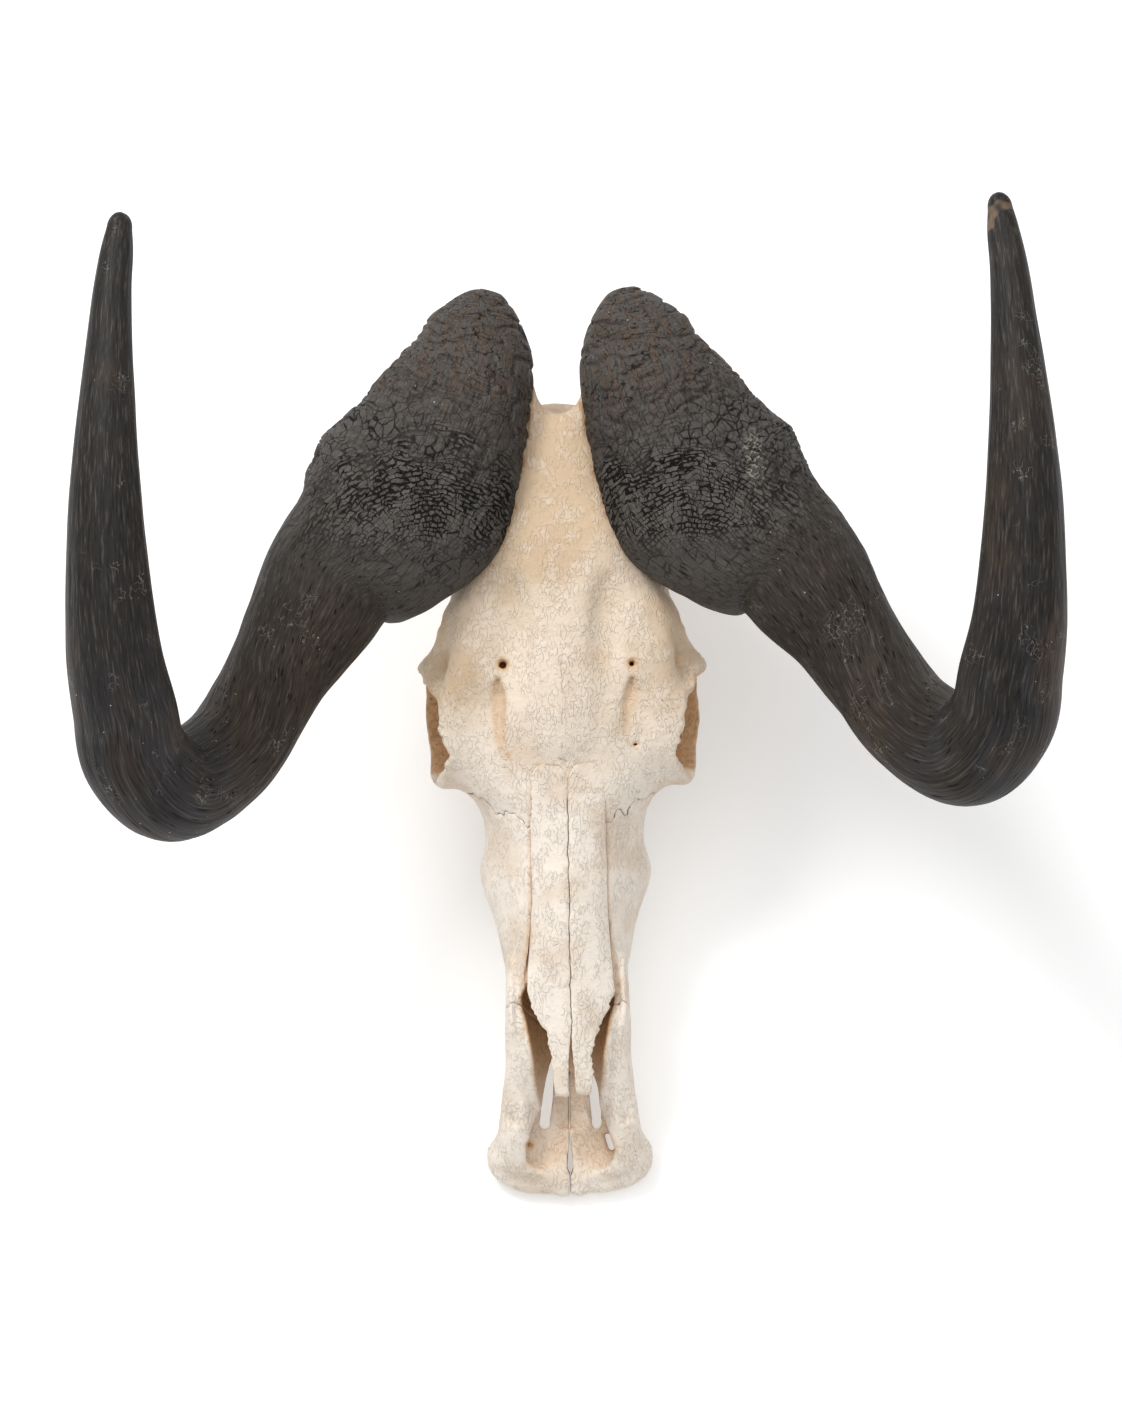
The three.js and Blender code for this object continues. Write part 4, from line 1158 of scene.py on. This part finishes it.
# %% [markdown]
# ## Horn finish
#
# Horn is layered fibre. On the boss it dries and splits: arcs of growth cross cracks that fan out from one
# place, so the crack pattern is drawn in rings and rays about that place, near black: partly the cracks' own
# dark and partly painted shade. On the shaft the fibres run lengthways, brown where light gets in, and on the
# hook the horn is worn smooth and grey, with patches of painted blue-grey sheen, pale scuffs and specks. The
# straightened place kept at each point makes the fibres follow the bend. Three marks are local: chalk on one
# boss, a worn tip, and a warm patch where light comes through the edge of a hook.

# %% Horn material
horn_look = bpy.data.materials.new("horn")
horn_look.use_nodes = True
tree = horn_look.node_tree
shader = tree.nodes["Principled BSDF"]
place, px, pu, _ = place_group(face_group)
straight = stretch(kept("straight", 1), MILLIMETRES)
length = add("ShaderNodeSeparateXYZ", {0: straight}, out=2)

boss = step(length, 215, 130)
hook = step(length, 285, 400)
fibre = noise(stretch(straight, (1, 1, 0.06)), 1.1, 2, 0.65)
strand = noise(stretch(straight, (1, 1, 0.08)), 4, 1)
cloud, patch, sway = (kept(label) for label in ("cloud", "patch", "sway"))
warped = stretch(kept("warped", 1), MILLIMETRES)

dx = minus(calc("ABSOLUTE", px), CRACK_CENTRE[0])
du = minus(pu, CRACK_CENTRE[1])
reach = calc("SQRT", plus(times(dx, dx), times(du, du)))
ray = calc("ARCTAN2", dx, du)
scuffed = step(sway, 0.60, 0.70)
sway = minus(sway, 0.5)
jitter = minus(noise(place, 4, 1), 0.5)
ring = plus(plus(calc("DIVIDE", reach, 2.4), times(sway, 3.4)), times(jitter, 1.3))
fan = plus(plus(times(ray, 15.0), times(sway, 4.0)), times(jitter, 1.6))
loose = step(patch, 0.30, 0.70)
bricks = add("ShaderNodeTexBrick", {
    "Vector": add("ShaderNodeCombineXYZ", {0: fan, 1: ring, 2: 0.0}), "Scale": 1.0, "Mortar Smooth": 0.35,
    "Mortar Size": plus(0.04, times(loose, 0.2)), "Brick Width": 1.9, "Row Height": 1.0,
    "Color1": (0, 0, 0, 1), "Color2": (1, 1, 1, 1)}).node.outputs
long_cells = add("ShaderNodeCombineXYZ", {0: times(ring, 0.16), 1: times(fan, 0.62), 2: 0.0})
rays = add("ShaderNodeTexVoronoi", {"Vector": long_cells, "Scale": 1.0, "Randomness": 0.95},
           feature="DISTANCE_TO_EDGE", voronoi_dimensions="2D")
shards = add("ShaderNodeTexVoronoi", {"Vector": stretch(warped, (0.19, 0.19, 0.15)), "Scale": 1.0},
             feature="DISTANCE_TO_EDGE")
fanned = times(step(plus(reach, times(sway, 60.0)), 84, 58), step(du, 6, 28))
brick_crack = times(bricks["Fac"], fanned)
ray_crack = times(step(rays, 0.065, 0.015), fanned)
split = times(step(shards, plus(0.02, times(loose, 0.13)), 0.006), minus(1.0, times(fanned, 0.8)))
split = times(split, step(du, -30, 25), step(length, 45, 95))
wrinkle = noise(stretch(warped, (0.42, 0.42, 1)), 3.2, 1)
crease = times(step(apart(wrinkle, 0.5), 0.028, 0.006), step(length, 100, 55), 0.8)
crack = calc("MAXIMUM", calc("MAXIMUM", brick_crack, crease), calc("MAXIMUM", ray_crack, split))
crack = times(crack, boss)
dash = dots(stretch(warped, (1, 1, 0.16)), 2.2, 0.27, 0.8)
dash = times(dash, step(length, 100, 150), step(length, 470, 300))

colour = mix(boss, (0.0300, 0.0235, 0.0185, 1), (0.076, 0.069, 0.063, 1))
colour = mix(hook, colour, (0.0240, 0.0215, 0.0200, 1))
# Painted sheen: blue-grey patches on the hook stand in for a cool reflection on its bend.
painted_sheen = times(step(length, 280, 340), step(length, 470, 380), step(cloud, 0.36, 0.60))
colour = layer(colour, 0.6, painted_sheen, (0.038, 0.041, 0.050))
tint = times(bricks["Color"], fanned, boss)
colour = layer(colour, 0.55, tint, (0.150, 0.137, 0.125))
folded = times(step(length, 95, 45), step(strand, 0.38, 0.62))
colour = layer(colour, 0.75, folded, (0.086, 0.060, 0.043))
brown = times(step(cloud, 0.48, 0.66), minus(1.0, boss))
colour = layer(colour, 0.6, brown, (0.046, 0.033, 0.024))
colour = layer(colour, 0.55, step(fibre, 0.52, 0.74), (0.120, 0.104, 0.088))
colour = layer(colour, 0.75, step(fibre, 0.48, 0.28), (0.008, 0.0072, 0.0066))
# Cracks and dashes painted near black: the dashes are real marks, while the crack colour is partly the
# cracks' own dark and partly painted shade.
dark = calc("MAXIMUM", crack, times(dash, 0.9))
colour = layer(colour, 0.93, dark, (0.0035, 0.003, 0.0026))
specks = times(dots(place, 4.6, 0.085, 0.42), step(cloud, 0.40, 0.55))
colour = layer(colour, 0.8, specks, (0.50, 0.46, 0.41))
curl = noise(place, 3.6, 1)
scuff = times(step(apart(curl, 0.5), 0.018, 0.006), scuffed, step(length, 60, 300))
colour = layer(colour, 0.45, scuff, (0.36, 0.32, 0.27))


def spot(centre, radii):
    """Mask that fades from 1 at a place (x, u) of the face to 0 at an ellipse round it."""
    ex, eu = (calc("DIVIDE", minus(p, c), r) for p, c, r in zip((px, pu), centre, radii))
    return step(plus(times(ex, ex), times(eu, eu)), 1.0, 0.0)


chalk = times(spot((100, 382), (7, 19)), step(apart(curl, 0.5), 0.06, 0.02))
colour = layer(colour, 0.6, chalk, (0.42, 0.38, 0.32))
chip = times(spot((218, 492), (14, 14)), step(patch, 0.50, 0.60))
colour = layer(colour, 0.6, chip, (0.24, 0.165, 0.10))
glow = times(spot((247, 276), (15, 40)), step(fibre, 0.36, 0.62))
colour = layer(colour, 0.6, glow, (0.088, 0.055, 0.034))

rough = plus(minus(0.54, times(hook, 0.06)), times(dark, 0.3), clamp=True)
height = plus(times(fibre, minus(1.05, times(hook, 0.7))), times(strand, 0.35))
height = minus(plus(height, times(tint, 0.5)), times(brick_crack, boss, 2.0))
bump = add("ShaderNodeBump", {"Height": height, "Strength": 0.9, "Distance": 0.001})
connect(shader, {"Base Color": colour, "Normal": bump, "Roughness": rough, "Specular IOR Level": 0.15})
print("horn finish:", len(tree.nodes), "nodes")

# %% Finishes onto pieces
STANDS_FOR = {"teeth_left": "maxilla_left", "teeth_right": "maxilla_right"}
for name, piece in pieces.items():
    slot = "horn" if name.startswith("horn") else "bone"
    piece.data.materials.append(horn_look if slot == "horn" else bone_look)
    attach(piece, "root")
    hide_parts(STANDS_FOR.get(name, name))
print(len(pieces), "pieces,", sum(len(p.data.polygons) for p in pieces.values()), "triangles")

# %% [markdown]
# ## Camera, floor and light
#
# The camera looks straight down the face from 2.6 metres, rolled by one degree. The picture is as tall as 729
# millimetres at the face, which sets the lens. A pale floor, a wide soft box overhead and a smaller one at
# the upper left give the even light of a product picture.

# %% Camera
EYE = (-0.6, 259.5, 2600.0)
ROLL = np.radians(1.015)
PICTURE_TALL = 1402 * 0.52
axes = np.array([[np.cos(ROLL), -np.sin(ROLL), 0], [np.sin(ROLL), np.cos(ROLL), 0], [0, 0, 1]])
axes = (lay_down(axes) - lay_down([0, 0, 0])) * 1000
lens = bpy.data.cameras.new("camera")
lens.sensor_fit = "VERTICAL"
lens.sensor_height = 24
lens.lens = 24 * EYE[2] / PICTURE_TALL
lens.clip_end = 30
camera = bpy.data.objects.new("camera", lens)
camera.matrix_world = Matrix.Translation(Vector(lay_down(EYE))) @ Matrix(axes.T.tolist()).to_4x4()
bpy.context.scene.collection.objects.link(camera)
bpy.context.scene.camera = camera
print("lens", round(lens.lens, 1), "mm")

# %% Floor and light
floor_mesh = bpy.data.meshes.new("floor")
floor_mesh.from_pydata([(-6, -6, 0), (6, -6, 0), (6, 6, 0), (-6, 6, 0)], [], [(0, 1, 2, 3)])
floor = bpy.data.objects.new("floor", floor_mesh)
bpy.context.scene.collection.objects.link(floor)
paper = bpy.data.materials.new("paper")
paper.use_nodes = True
connect(paper.node_tree.nodes["Principled BSDF"], {
    "Base Color": (0.82, 0.82, 0.82, 1), "Roughness": 0.95, "Emission Color": (1, 1, 1, 1),
    "Emission Strength": 0.28})
floor_mesh.materials.append(paper)

bpy.context.scene.view_settings.view_transform = "Standard"
world = bpy.data.worlds.new("studio")
bpy.context.scene.world = world
world.use_nodes = True
connect(world.node_tree.nodes["Background"], {"Color": (1, 1, 1, 1), "Strength": 0.45})


def softbox(name, place, size, watts):
    """Square area light that faces the skull."""
    lamp = bpy.data.lights.new(name, "AREA")
    lamp.shape = "SQUARE"
    lamp.size = size
    lamp.energy = watts
    holder = bpy.data.objects.new(name, lamp)
    holder.location = place
    holder.rotation_euler = (Vector((0, 0, 0.1)) - Vector(place)).to_track_quat("-Z", "Y").to_euler()
    bpy.context.scene.collection.objects.link(holder)


softbox("overhead", (0.1, 0.2, 3.0), 3.2, 46)
softbox("key", (-1.1, 1.1, 2.1), 0.8, 34)
